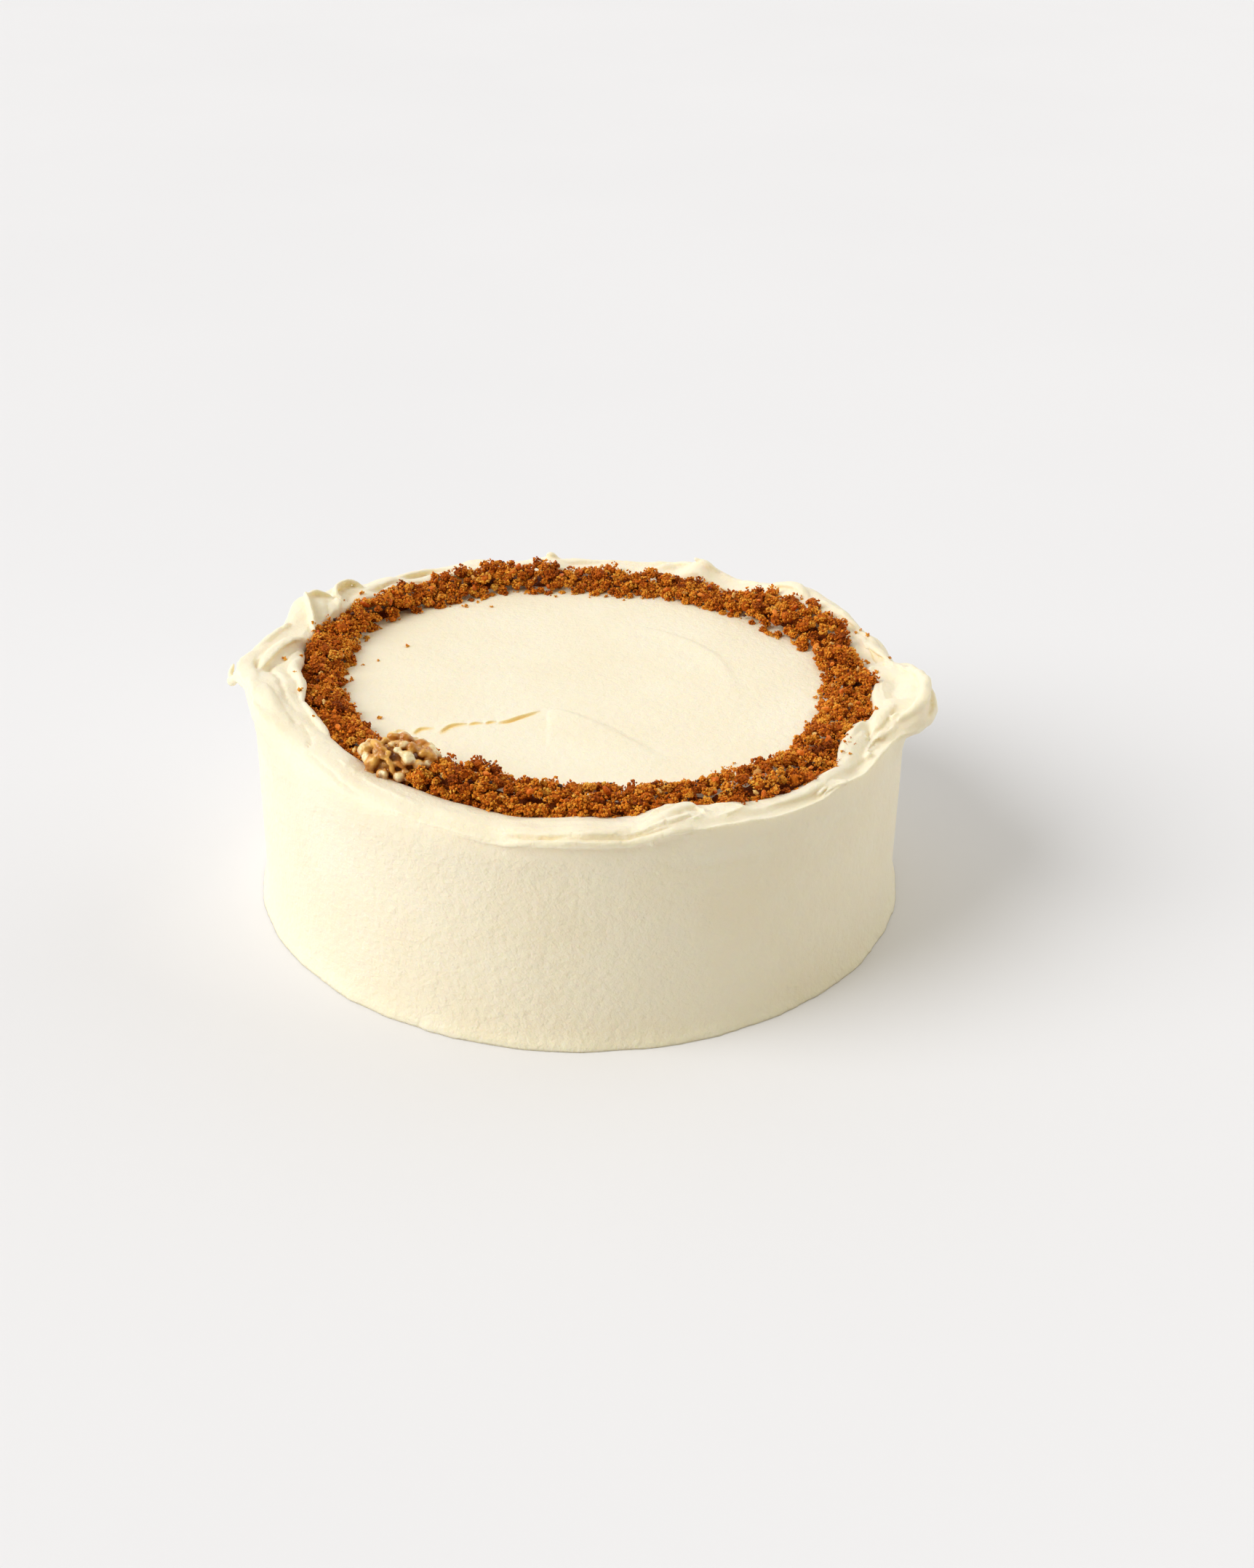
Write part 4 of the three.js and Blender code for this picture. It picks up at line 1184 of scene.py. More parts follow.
# %% Tones
tones, given, result = new_group("tones", [
    ("Dark", COLOR, (0, 0, 0, 1)), ("Middle", COLOR, (0.5, 0.5, 0.5, 1)), ("Light", COLOR, WHITE),
    ("Tone", FLOAT, 0.5),
], ("Color", COLOR))
lower = add_node(tones, "ShaderNodeMapRange", values={"From Max": 0.5})
upper = add_node(tones, "ShaderNodeMapRange", values={"From Min": 0.5})
low_color = blend(tones, lower.outputs["Result"], given["Dark"], given["Middle"])
full_color = blend(tones, upper.outputs["Result"], low_color, given["Light"])
wire(
    tones,
    (given["Tone"], lower.inputs["Value"]),
    (given["Tone"], upper.inputs["Value"]),
    (full_color, result),
)
print("tones takes", list(given.keys())[:4])

# %% [markdown]
# Hollow tells how deep a point lies in a gap: it measures how much of the open air within reach
# is blocked, and scales that. The finishes use it to paint shade into the gaps, which makes them
# warmer and darker than open parts.

# %% Hollow
hollow, given, result = new_group(
    "hollow", [("Reach", FLOAT, 0.003), ("Contrast", FLOAT, 1.0)], ("Depth", FLOAT),
)
openness = add_node(hollow, "ShaderNodeAmbientOcclusion", {"samples": 6})
blocked = add_node(hollow, "ShaderNodeMath", {"operation": "SUBTRACT"}, {0: 1.0})
scaled = add_node(hollow, "ShaderNodeMath", {"operation": "MULTIPLY", "use_clamp": True})
wire(
    hollow,
    (given["Reach"], openness.inputs["Distance"]),
    (openness.outputs["AO"], blocked.inputs[1]),
    (blocked.outputs["Value"], scaled.inputs[0]),
    (given["Contrast"], scaled.inputs[1]),
    (scaled.outputs["Value"], result),
)
print("hollow takes", list(given.keys())[:2])

# %% [markdown]
# ## Finishes
# Every finish is a Principled shader whose colour comes from the groups and whose fine surface
# comes from a bump of the grain. Values that are the same all over are set on the shader itself.
# Light goes a little way into all of these, red furthest, so each has some subsurface.

# %% Finish helpers
def place_group(tree, group, **values):
    """A group placed in a tree. A colour is given as red, green and blue."""
    made = add_node(tree, "ShaderNodeGroup", {"node_tree": group})
    for label, value in values.items():
        socket = made.inputs[label.replace("_", " ")]
        socket.default_value = (*value, 1) if isinstance(value, tuple) else value
    return made


def finish(name, roughness, gloss, glow=0.0, glow_reach=0.001, glow_color=(1.0, 0.5, 0.2)):
    """A new material, its tree and its shader."""
    material = bpy.data.materials.new(name)
    material.use_nodes = True
    shader = material.node_tree.nodes["Principled BSDF"]
    for label, value in (
        ("Roughness", roughness), ("Specular IOR Level", gloss), ("Subsurface Weight", glow),
        ("Subsurface Scale", glow_reach), ("Subsurface Radius", glow_color),
    ):
        shader.inputs[label].default_value = value
    return material, material.node_tree, shader


def add_bumps(tree, shader, layers):
    """Bumps in a chain, each from a grain group: cells per metre, detail, height in mm, where."""
    last = None
    for cells, detail, height, *shown in layers:
        bump = add_node(tree, "ShaderNodeBump", values={"Distance": height * MM, "Strength": 1.0})
        layer = place_group(tree, grain, Cells_per_metre=cells, Detail=detail)
        level = add_node(tree, "ShaderNodeMath", {"operation": "MULTIPLY"}, {1: 1.0})
        wire(tree, (layer.outputs["Height"], level.inputs[0]))
        wire(tree, (level.outputs["Value"], bump.inputs["Height"]))
        if shown:
            wire(tree, (shown[0], level.inputs[1]))
        if last:
            wire(tree, (last.outputs["Normal"], bump.inputs["Normal"]))
        last = bump
    wire(tree, (last.outputs["Normal"], shader.inputs["Normal"]))


# %% [markdown]
# The frosting's colour turns towards butter yellow in its creases and slits: painted shade, the
# warm shadow that thin cream cheese frosting shows there. The scraper leaves the side finely
# pitted, while the knife polishes the top. So one of the three bumps fades out above the side.

# %% Cream cheese frosting
SHADE_IN_CREASES, SHADE_IN_SLITS = (0.93, 0.78, 0.44, 1), (0.93, 0.66, 0.22, 1)
cream, tree, shader = finish("cream_frosting", 0.5, 0.35, 0.35, 0.004, (1.0, 0.72, 0.3))
tone = place_group(
    tree, drift, One=(0.91, 0.825, 0.635), Other=(0.93, 0.855, 0.68), Cells_per_metre=26.0,
)
gap = place_group(tree, hollow, Reach=0.0045, Contrast=0.5)
# Painted shade: the colour warms towards butter yellow in creases and in the slits under the torn lips.
shade_warmed = blend(tree, gap.outputs["Depth"], tone.outputs["Color"], SHADE_IN_CREASES)
shade_warmed = blend(tree, stored_value(tree, "slit_shade"), shade_warmed, SHADE_IN_SLITS)
height_split = add_node(tree, "ShaderNodeSeparateXYZ")
on_side = {"From Min": 0.066, "From Max": 0.069, "To Min": 1.0, "To Max": 0.0}
on_side = add_node(tree, "ShaderNodeMapRange", values=on_side)
wire(
    tree,
    (shade_warmed, shader.inputs["Base Color"]),
    (object_place(tree), height_split.inputs[0]),
    (height_split.outputs["Z"], on_side.inputs["Value"]),
)
pits = (430.0, 2.0, 0.4, on_side.outputs["Result"])
add_bumps(tree, shader, [(330.0, 3.0, 0.45), (1300.0, 2.0, 0.1), pits])
frosting.data.materials.clear()
frosting.data.materials.append(cream)
print(cream.name, "has", len(tree.nodes), "nodes")

# %% [markdown]
# Crumb, carrot, nut and toasted specks differ only in their tones and their gloss, so one function
# makes all six finishes from a table. The tone of each grain is stored in its mesh, and gaps
# between the grains are painted in the darkest tone as shade.

# %% Baked finishes
BAKED = {  # dark, middle and light tone, roughness, gloss
    "golden_crumb": ((0.53, 0.14, 0.009), (0.92, 0.36, 0.034), (0.97, 0.52, 0.085), 0.45, 0.08),
    "amber_crumb": ((0.36, 0.072, 0.005), (0.86, 0.245, 0.015), (0.95, 0.41, 0.045), 0.45, 0.08),
    "brown_crumb": ((0.17, 0.03, 0.003), (0.56, 0.125, 0.008), (0.76, 0.22, 0.016), 0.5, 0.08),
    "carrot_bit": ((0.55, 0.1, 0.005), (0.8, 0.19, 0.008), (0.9, 0.32, 0.03), 0.35, 0.3),
    "nut_bit": ((0.62, 0.26, 0.04), (0.82, 0.46, 0.11), (0.9, 0.62, 0.22), 0.35, 0.4),
    "toasted_speck": ((0.02, 0.006, 0.004), (0.05, 0.013, 0.006), (0.12, 0.03, 0.01), 0.4, 0.3),
}


def baked_finish(name, dark, middle, light, roughness, gloss):
    material, tree, shader = finish(name, roughness, gloss, 0.25, 0.001, (1.0, 0.4, 0.1))
    tone = place_group(tree, tones, Dark=dark, Middle=middle, Light=light)
    gap = place_group(tree, hollow, Reach=0.003, Contrast=0.6)
    wire(tree, (stored_value(tree, "tone"), tone.inputs["Tone"]))
    # Painted shade: the gaps between the grains turn to the darkest tone.
    shaded = blend(tree, gap.outputs["Depth"], tone.outputs["Color"], (*dark, 1))
    wire(tree, (shaded, shader.inputs["Base Color"]))
    add_bumps(tree, shader, [(1700.0, 3.0, 0.35)])
    return material


baked = [baked_finish(name, *row) for name, row in BAKED.items()]
golden, amber, brown, orange, pale_nut, toasted = baked
print("baked finishes:", ", ".join(BAKED))

# %% [markdown]
# A walnut's skin is glossy and brown, and its flesh is pale where the skin is rubbed off. A value
# stored in the mesh says where that is. The gaps between the lobes are painted darkest, as shade.

# %% Walnut kernel
SHADE_IN_WALNUT_GAPS = (0.34, 0.1, 0.012, 1)
kernel_skin, tree, shader = finish("walnut_kernel", 0.22, 0.5, 0.25, 0.0015, (1.0, 0.6, 0.25))
skin = place_group(
    tree, drift, One=(0.54, 0.2, 0.022), Other=(0.86, 0.5, 0.11), Cells_per_metre=230.0,
)
flesh = place_group(
    tree, drift, One=(0.92, 0.72, 0.36), Other=(0.95, 0.86, 0.56), Cells_per_metre=300.0,
)
gap = place_group(tree, hollow, Reach=0.004, Contrast=1.2)
worn = stored_value(tree, "worn")
kernel_color = blend(tree, worn, skin.outputs["Color"], flesh.outputs["Color"])
# Painted shade: the gaps between the lobes turn dark brown.
kernel_color = blend(tree, gap.outputs["Depth"], kernel_color, SHADE_IN_WALNUT_GAPS)
wire(tree, (kernel_color, shader.inputs["Base Color"]))
add_bumps(tree, shader, [(500.0, 3.0, 0.4)])
print(kernel_skin.name, "has", len(tree.nodes), "nodes")

# %% [markdown]
# ## The heap of crumbs
# Crumbled sponge was sprinkled inside the rim. The heap is about 16 mm wide and 2 to 9 mm high,
# with drifts where more fell. It is built from the inside out: a lumpy core that closes the gaps,
# and hundreds of clumps, each of which is a few dozen grains about a millimetre big. Joined
# arrays of small bodies are used instead of particles, so that the crumbs are real mesh.

# %% Shape of the heap
CRUMB_INNER_RADIUS = 80
CRUMB_HEAP_HEIGHT = 4.4
CRUMB_DRIFTS = [  # place, half width, how much further inwards, higher and outwards
    (-26, 9, 5.0, 4.2, 0),
    (-11, 7, 2.8, 2.8, -0.8),
    (5, 6, 4.2, 3.0, 0),
    (-45, 8, 2.6, 1.4, 0),
    (16, 4, 2.6, 1.0, 0),
    (28, 6, 1.4, 0.8, 0),
    (35, 2, 0, 0.8, 3.6),
    (44, 10, -0.6, 1.2, 1.2),
    (90, 12, -1.4, 0, 0),
    (101, 5, -0.6, 0, -3.2),
    (108, 6, -4.2, 0.2, 0.8),
    (122, 7, 0.4, 2.4, 2.0),
    (150, 11, 1.2, -1.6, -4.6),
    (168, 7, 4.0, -1.0, -3.0),
    (-176, 7, 2.6, -1.0, -2.2),
    (-161, 6, -0.8, 0.9, 0),
    (-122, 17, -5.0, 1.4, 1.6),
    (-118, 4, 0, 1.4, 1.8),
    (-98, 5, 1.6, 0, -3.4),
    (-88, 3.5, 0, 0.4, 2.4),
    (-68, 9, 2.8, 0.6, -0.8),
]
INWARD, LIFT, OUTWARD = 2, 3, 4
heap_wave = uneven_wave(21, [11, 19, 29])
inner_wave = uneven_wave(22, [10, 17, 27, 41])


def drifts_total(measure, azimuth):
    return sum(drift[measure] * bell(azimuth, drift[0], drift[1]) for drift in CRUMB_DRIFTS)


def heap_at(azimuth):
    """Inner radius, outer radius and height of the heap."""
    inner = CRUMB_INNER_RADIUS - drifts_total(INWARD, azimuth) - 0.9 * inner_wave(azimuth)
    outer = rim_at(azimuth)[2] + 0.6 + drifts_total(OUTWARD, azimuth)
    return inner, outer, CRUMB_HEAP_HEIGHT + drifts_total(LIFT, azimuth) + 0.6 * heap_wave(azimuth)


HEAP_ACROSS = [-0.4, 0, 0.05, 0.16, 0.4, 0.72, 0.95, 1.0, 1.2]
HEAP_UP = [0, 0, 0.3, 0.72, 1.0, 1.0, 0.85, 0.8, 0.8]
MOUND_WIDTH, MOUND_HEIGHT = 9, 1.3  # the heap rises and dips in mounds


def heap_surface(azimuth, across):
    """Points on the heap at an azimuth and a share of the way across, 0 at its inner edge."""
    inner, outer, height = heap_at(azimuth)
    place = polar(mix(inner, outer, across), azimuth, 0.0)
    mounds = MOUND_HEIGHT * noise(place.reshape(-1, 3), MOUND_WIDTH, seed=74)
    up = np.interp(across, HEAP_ACROSS, HEAP_UP)
    place[..., 2] = TOP_HEIGHT + (height + mounds.reshape(np.shape(across))) * up
    return place


heights = heap_at(np.arange(360))[2]
print("the heap is", heights.min().round(1), "to", heights.max().round(1), "mm high")

# %% [markdown]
# The core only has to fill the gaps between the clumps. It keeps 2 mm below the heap's surface,
# lies lower still at the heap's outer and inner side, and stops short of both edges, so that no
# smooth part of it shows. Its tone stays near the darkest brown, which paints shade into the gaps.

# %% Lumpy core
CORE_STEPS, CORE_ROWS = 620, 20
CORE_FROM, CORE_TO, CORE_DEPTH = 0.38, 0.9, 2.3
OUTER_DEPTH, INNER_DEPTH = 3.2, 1.2  # times the core's depth
core_azimuths = (np.arange(CORE_STEPS) * 360 / CORE_STEPS)[:, None]
core_across = np.linspace(CORE_TO, CORE_FROM, CORE_ROWS)[None, :]
core_top = heap_surface(*np.broadcast_arrays(core_azimuths, core_across))
core_top[..., 2] -= CORE_DEPTH * mix(1, OUTER_DEPTH, smoothstep(core_across, 0.45, CORE_TO))
core_top[..., 2] -= INNER_DEPTH * CORE_DEPTH * (1 - smoothstep(core_across, CORE_FROM, 0.65))
flat_core = core_top.reshape(-1, 3)
lumpy = 1.0 * noise(flat_core, 3.2, seed=71) + 0.6 * noise(flat_core, 1.5, seed=72)
core_top = core_top + grid_normals(core_top) * lumpy.reshape(core_top.shape[:2])[..., None]
core_top[..., 2] = np.maximum(core_top[..., 2], TOP_HEIGHT + 0.15)
core_under = core_top[:, [-1, 0]] * [1, 1, 0] + [0, 0, TOP_HEIGHT - 0.5]
core_grid = np.concatenate([core_top, core_under], axis=1)
core_points = core_grid.reshape(-1, 3)
core_faces = closed_band_faces(CORE_STEPS, CORE_ROWS + 2)
crumb_core = make_object("crumb_core", core_points, core_faces, brown)
# Painted shade: the core's tone stays near 0, the darkest brown, so the gaps between clumps look shaded.
store_values(crumb_core, "tone", np.clip(0.25 * noise(core_points, 2.0, seed=73), 0, 1))
print("crumb core has", triangle_count(crumb_core), "triangles")


# %% [markdown]
# A grain is an uneven splinter. One pattern of six corners serves for all of them: each copy is
# stretched, turned and dented with seeded numbers, and all copies are joined into one mesh. The
# copies are made in one go by multiplying arrays, which is fast enough for tens of thousands.
# Larger bodies start from a ball instead.

# %% Many uneven lumps at once
SPLINTER = (
    np.array([(1, 0, 0), (-1, 0, 0), (0, 1, 0), (0, -1, 0), (0, 0, 1), (0, 0, -1)], dtype=float),
    np.array([
        (0, 2, 4), (2, 1, 4), (1, 3, 4), (3, 0, 4), (2, 0, 5), (1, 2, 5), (3, 1, 5), (0, 3, 5),
    ]),
)


def ball(subdivisions):
    """Points and triangles of a ball made from a twenty-sided solid."""
    made = bmesh.new()
    bmesh.ops.create_icosphere(made, subdivisions=subdivisions, radius=1)
    points = np.array([vertex.co[:] for vertex in made.verts])
    faces = np.array([[vertex.index for vertex in face.verts] for face in made.faces])
    made.free()
    return points, faces


def random_turns(random, count):
    """Rotation matrices that point every way alike."""
    q = random.normal(size=(count, 4))
    w, x, y, z = (q / np.linalg.norm(q, axis=1, keepdims=True)).T
    return np.stack([
        np.stack([1 - 2 * (y * y + z * z), 2 * (x * y - w * z), 2 * (x * z + w * y)], axis=1),
        np.stack([2 * (x * y + w * z), 1 - 2 * (x * x + z * z), 2 * (y * z - w * x)], axis=1),
        np.stack([2 * (x * z - w * y), 2 * (y * z + w * x), 1 - 2 * (x * x + y * y)], axis=1),
    ], axis=1)


def many_lumps(random, places, sizes, pattern, uneven, low, high):
    """Points and faces of one lump at each place. Its stretch lies between low and high."""
    corners, pattern_faces = pattern
    count = len(places)
    dents = 1 + uneven * random.uniform(-1, 1, size=(count, len(corners)))
    scales = random.uniform(low, high, size=(count, 1, 3)) * np.asarray(sizes)[:, None, None]
    bodies = corners[None] * dents[..., None] * scales
    bodies = np.einsum("nij,nkj->nki", random_turns(random, count), bodies) + places[:, None]
    faces = pattern_faces[None] + (np.arange(count) * len(corners))[:, None, None]
    return bodies.reshape(-1, 3), faces.reshape(-1, 3)


def lump_piece(name, random, places, sizes, material, form=(SPLINTER, 0.3, 0.7, 1.4), tone=None):
    """A piece of many lumps of a form: pattern, unevenness, least and most stretch.

    tone is the middle tone of each lump. It varies a little over a lump.
    """
    points, faces = many_lumps(random, places, sizes, *form)
    piece = make_object(name, points, faces.tolist(), material, smooth=False)
    if tone is None:
        tone = random.uniform(0.1, 0.9, len(places))
    corners = len(points) // len(places)
    tones_of_corners = np.repeat(tone, corners) + random.uniform(-0.15, 0.15, len(points))
    store_values(piece, "tone", np.clip(tones_of_corners, 0, 1))
    print(name, "has", len(places), "lumps and", triangle_count(piece), "triangles")
    return piece


# %% [markdown]
# The clumps are spread evenly: their azimuths go round in equal steps with a little chance, and
# their place across the heap jumps by the golden ratio, which never lines up. The clumps near the
# heap's inner edge are smaller.

# %% Clumps of the heap
GOLDEN = (math.sqrt(5) - 1) / 2
CLUMPS, CLUMP_SIZES = 800, (1.0, 2.7)
crumb_random = np.random.default_rng(17)


def spread_places(random, count, low=0.02, high=0.97):
    """Places spread evenly over the heap, and the share across it at which each lies."""
    azimuth = (np.arange(count) + random.uniform(0, 1, count)) * 360 / count
    across = (np.arange(count) * GOLDEN + random.uniform(0, 0.05, count)) % 1
    across = mix(low, high, across)
    return heap_surface(azimuth, across), across


clump_places, clump_across = spread_places(crumb_random, CLUMPS, -0.02, 1.03)
clump_sizes = mix(*CLUMP_SIZES, crumb_random.uniform(0, 1, CLUMPS) ** 1.5)
off_edge = smoothstep(clump_across, 0, 0.2)
clump_sizes *= mix(0.7, 1, off_edge)
clump_places[:, 2] += crumb_random.uniform(-1.9, 1.2, CLUMPS) * off_edge - 0.3
print("the largest clump reaches", clump_sizes.max().round(1), "mm from its middle")

# %% [markdown]
# At the heap's two edges smaller clumps are stacked from the frosting up, half of them against the
# rim and half on the inner slope. Most of those at the rim lie where the heap is banked up high.

# %% Clumps at the edges
EDGE_CLUMPS, EDGE_CLUMP_SIZES = 570, (0.9, 1.7)
BANK = (-64, 30)  # azimuths between which the heap is banked up high against the rim
AT_RIM, BANKED = 5, 4  # clumps in every ten that lie at the rim, and in the bank
RIM_ACROSS, RIM_UP = (0.88, 1.05), (0.3, 0.95)
SLOPE_ACROSS, SLOPE_UP = (-0.04, 0.34), (0.25, 0.9)
edge_number = np.arange(EDGE_CLUMPS)
at_rim, banked = edge_number % 10 < AT_RIM, edge_number % 10 < BANKED


def either(first, second):
    """Seeded numbers from the first range for clumps at the rim, else from the second."""
    firsts, seconds = (crumb_random.uniform(*limits, EDGE_CLUMPS) for limits in (first, second))
    return np.where(at_rim, firsts, seconds)


edge_azimuth = (edge_number + crumb_random.uniform(0, 1, EDGE_CLUMPS)) * 360 / EDGE_CLUMPS
edge_azimuth[banked] = mix(*BANK, crumb_random.uniform(0, 1, banked.sum()))
edge_places = heap_surface(edge_azimuth, either(RIM_ACROSS, SLOPE_ACROSS))
edge_places[:, 2] = mix(TOP_HEIGHT, edge_places[:, 2], either(RIM_UP, SLOPE_UP))
edge_sizes = crumb_random.uniform(*EDGE_CLUMP_SIZES, EDGE_CLUMPS)
all_places = np.concatenate([clump_places, edge_places])
all_sizes = np.concatenate([clump_sizes, edge_sizes])
print(at_rim.sum(), "edge clumps lie at the rim,", banked.sum(), "of them in the bank")

# %% [markdown]
# Each clump is a crust of grains round a middle. The middles are balls of their own, so that no
# light falls through. Three tips stick out of a clump at random, because torn sponge is ragged
# and never round.

# %% Middles and grains of the clumps
GRAINS_PER_CLUMP, GRAINS_PER_EDGE_CLUMP, TIPS_PER_CLUMP = 64, 33, 3
MIDDLE_SIZE = 0.72  # share of the clump's size
GRAIN_SIZES = (0.26, 0.6)


def clump_grains(random, centres, sizes, per_clump):
    """Places of the grains of all clumps, and the number of the clump of each."""
    count = len(centres)
    ways = random.normal(size=(count, per_clump, 3))
    ways[..., 2] = np.abs(ways[..., 2]) - 0.3
    ways = unit(ways)
    tips = random.normal(size=(count, TIPS_PER_CLUMP, 3))
    tips[..., 2] = np.abs(tips[..., 2])
    toward_tip = np.einsum("cgk,ctk->cgt", ways, unit(tips)).max(axis=2)
    reach = 0.72 + 0.25 * random.uniform(0, 1, (count, per_clump))
    reach = reach + 0.5 * smoothstep(toward_tip, 0.78, 1.0)
    places = centres[:, None] + ways * (reach * sizes[:, None])[..., None]
    return places.reshape(-1, 3), np.repeat(np.arange(count), per_clump)


clump_tones = crumb_random.normal(0.5, 0.18, len(all_places))
crumb_middles = lump_piece(
    "crumb_middles", crumb_random, all_places, MIDDLE_SIZE * all_sizes, brown,
    form=(ball(2), 0.22, 0.8, 1.2), tone=clump_tones,
)
grain_places, grain_clump = clump_grains(crumb_random, clump_places, clump_sizes, GRAINS_PER_CLUMP)
edge_grains, edge_clump = clump_grains(crumb_random, edge_places, edge_sizes, GRAINS_PER_EDGE_CLUMP)
grain_places = np.concatenate([grain_places, edge_grains])
grain_clump = np.concatenate([grain_clump, edge_clump + CLUMPS])
grain_sizes = mix(*GRAIN_SIZES, crumb_random.uniform(0, 1, len(grain_places)) ** 1.3)
grain_places[:, 2] = np.maximum(grain_places[:, 2], TOP_HEIGHT + 0.4 * grain_sizes)
grain_tones = clump_tones[grain_clump] + crumb_random.normal(0, 0.16, len(grain_places))
print(len(grain_places), "grains cling to", len(all_places), "clumps")

# %% [markdown]
# The grains come in three kinds, as sponge browns unevenly: golden ones from the middle of the
# sponge, amber ones, and brown ones from its crust. Which kind a grain is depends on its clump
# and on chance. Each kind is one piece.

# %% Three kinds of grains
GRAIN_KINDS = [("brown_grains", brown), ("amber_grains", amber), ("golden_grains", golden)]
KIND_SHARES = [0.32, 0.66]  # share of the grains below the second and the third kind
kind_value = crumb_random.normal(0, 0.3, len(grain_places))
kind_value = kind_value + crumb_random.normal(0, 0.45, len(all_places))[grain_clump]
grain_kind = np.digitize(kind_value, np.quantile(kind_value, KIND_SHARES))
grain_pieces = []
for kind, (name, material) in enumerate(GRAIN_KINDS):
    own = grain_kind == kind
    grain_pieces.append(lump_piece(
        name, crumb_random, grain_places[own], grain_sizes[own], material, tone=grain_tones[own],
    ))

# %% [markdown]
# ## Bits in the crumbs
# The sponge holds grated carrot, chopped nuts and a few toasted specks. They are slivers and
# chips, longer than wide, and they lie half sunk among the grains.

# %% Carrot, nut and specks
SLIVER_LEAST, SLIVER_MOST, CHIP_MOST = [0.4, 0.6, 0.9], [0.6, 0.9, 1.4], [0.6, 1.0, 1.3]
BITS = [  # name, seed, count, sizes, finish, how high above the heap, form
    ("carrot_bits", 81, 90, (0.8, 1.5), orange, 0.6, (ball(2), 0.22, SLIVER_LEAST, SLIVER_MOST)),
    ("nut_bits", 82, 44, (0.7, 1.4), pale_nut, 0.6, (ball(1), 0.2, SLIVER_LEAST, CHIP_MOST)),
    ("dark_specks", 83, 150, (0.3, 0.6), toasted, 1.0, (ball(1), 0.25, 0.6, 1.3)),
]


def scatter_bits(name, seed, count, size, material, raise_by, form):
    random = np.random.default_rng(seed)
    places, _ = spread_places(random, count)
    sizes = random.uniform(*size, count)
    places[:, 2] += raise_by + random.uniform(-0.6, 0.4, count)
    return lump_piece(name, random, places, sizes, material, form)


carrot_bits, nut_bits, dark_specks = (scatter_bits(*row) for row in BITS)

# %% [markdown]
# ## The walnut half
# A walnut half is a small dome of knobbly lobes. The lobes at its rim are rubbed pale and the
# gaps between them keep the glossy brown skin. Each lobe below is an egg on the dome: its place
# along the kernel and up the slope that faces the front, its half sizes and how pale it is. The
# slope at the back gets seeded lobes of the same kind.

# %% Measures of the kernel
WALNUT_LENGTH, WALNUT_WIDTH, WALNUT_DOME, WALNUT_BELLY = 25, 20, 9.4, 3.2
WALNUT_PLACE, WALNUT_TURN = np.array([-56, -66, 76]), -12
DOME_HALF = np.array([WALNUT_LENGTH / 2, WALNUT_WIDTH / 2, WALNUT_DOME])
KNOBS = [  # along, up the slope, half length, half height, turn in degrees, paleness
    (-10.2, 3.2, 2.5, 2.9, -35, 0.45), (-5.6, 5.0, 3.4, 1.6, 8, 0.0), (-8.6, 0.7, 1.2, 1.9, 20, 0.8),
    (-7.0, -0.9, 1.8, 2.6, 15, 0.15), (-5.2, -0.2, 1.0, 2.6, -8, 0.15), (-7.7, -4.4, 2.8, 1.5, 0, 0.35),
    (-3.0, 1.6, 1.7, 1.0, -25, 0.25), (-3.8, 3.8, 2.2, 1.0, 12, 0.05), (1.5, 3.8, 1.3, 1.1, 0, 0.9),
    (3.2, 2.8, 1.6, 0.9, -35, 0.9), (5.1, 1.9, 2.1, 2.2, 0, 0.9), (2.7, 5.8, 1.7, 1.3, 0, 0.5),
    (5.5, 5.3, 1.7, 1.8, 0, 0.1), (8.7, 3.9, 1.7, 1.4, 0, 0.15), (11.0, 2.8, 1.9, 2.9, 10, 0.3),
    (8.3, 0.0, 1.7, 1.8, 0, 0.4), (10.4, 0.4, 1.5, 1.6, 0, 0.7), (-0.4, 0.0, 2.0, 0.9, -40, 0.2),
    (2.7, -0.6, 2.4, 0.8, -30, 0.0), (3.0, -4.4, 1.8, 1.9, 0, 0.95), (-1.4, -4.2, 1.0, 2.1, 10, 0.75),
    (-0.3, -6.0, 1.4, 0.9, 0, 0.85), (-2.3, -3.3, 0.8, 0.8, 0, 0.9), (7.2, -4.0, 3.4, 1.3, 8, 0.3),
    (10.3, -3.8, 1.2, 1.3, 0, 0.75), (4.9, -2.4, 1.2, 0.7, 0, 0.35), (-3.2, -4.4, 1.2, 2.0, 0, 0.0),
    (6.8, -6.4, 1.1, 0.8, 0, 0.9), (0.6, -2.0, 1.0, 1.6, 15, 0.1), (-0.8, 5.5, 1.4, 1.0, 15, 0.5),
    (-3.3, 6.7, 1.5, 0.9, -10, 0.25), (-1.0, 2.6, 0.9, 1.1, 20, 0.1), (-5.6, 2.6, 1.3, 0.9, -15, 0.3),
]
print("the front slope has", len(KNOBS), "lobes")

# %% [markdown]
# A place on the front slope is carried onto the dome by a line that runs square to the slope and
# stops where it first meets the dome. Below its middle the kernel is flatter, so the dome is too.

# %% Places of the lobes
FRONT_SLOPE = math.radians(30)  # the front slope's places are seen from this far above level
LINE_START, FLATTER = 30, 0.75  # mm before the middle, and share of the height below it
BACK_KNOBS, BACK_SIZES = 20, (1.3, 2.6)
knob_random = np.random.default_rng(7)


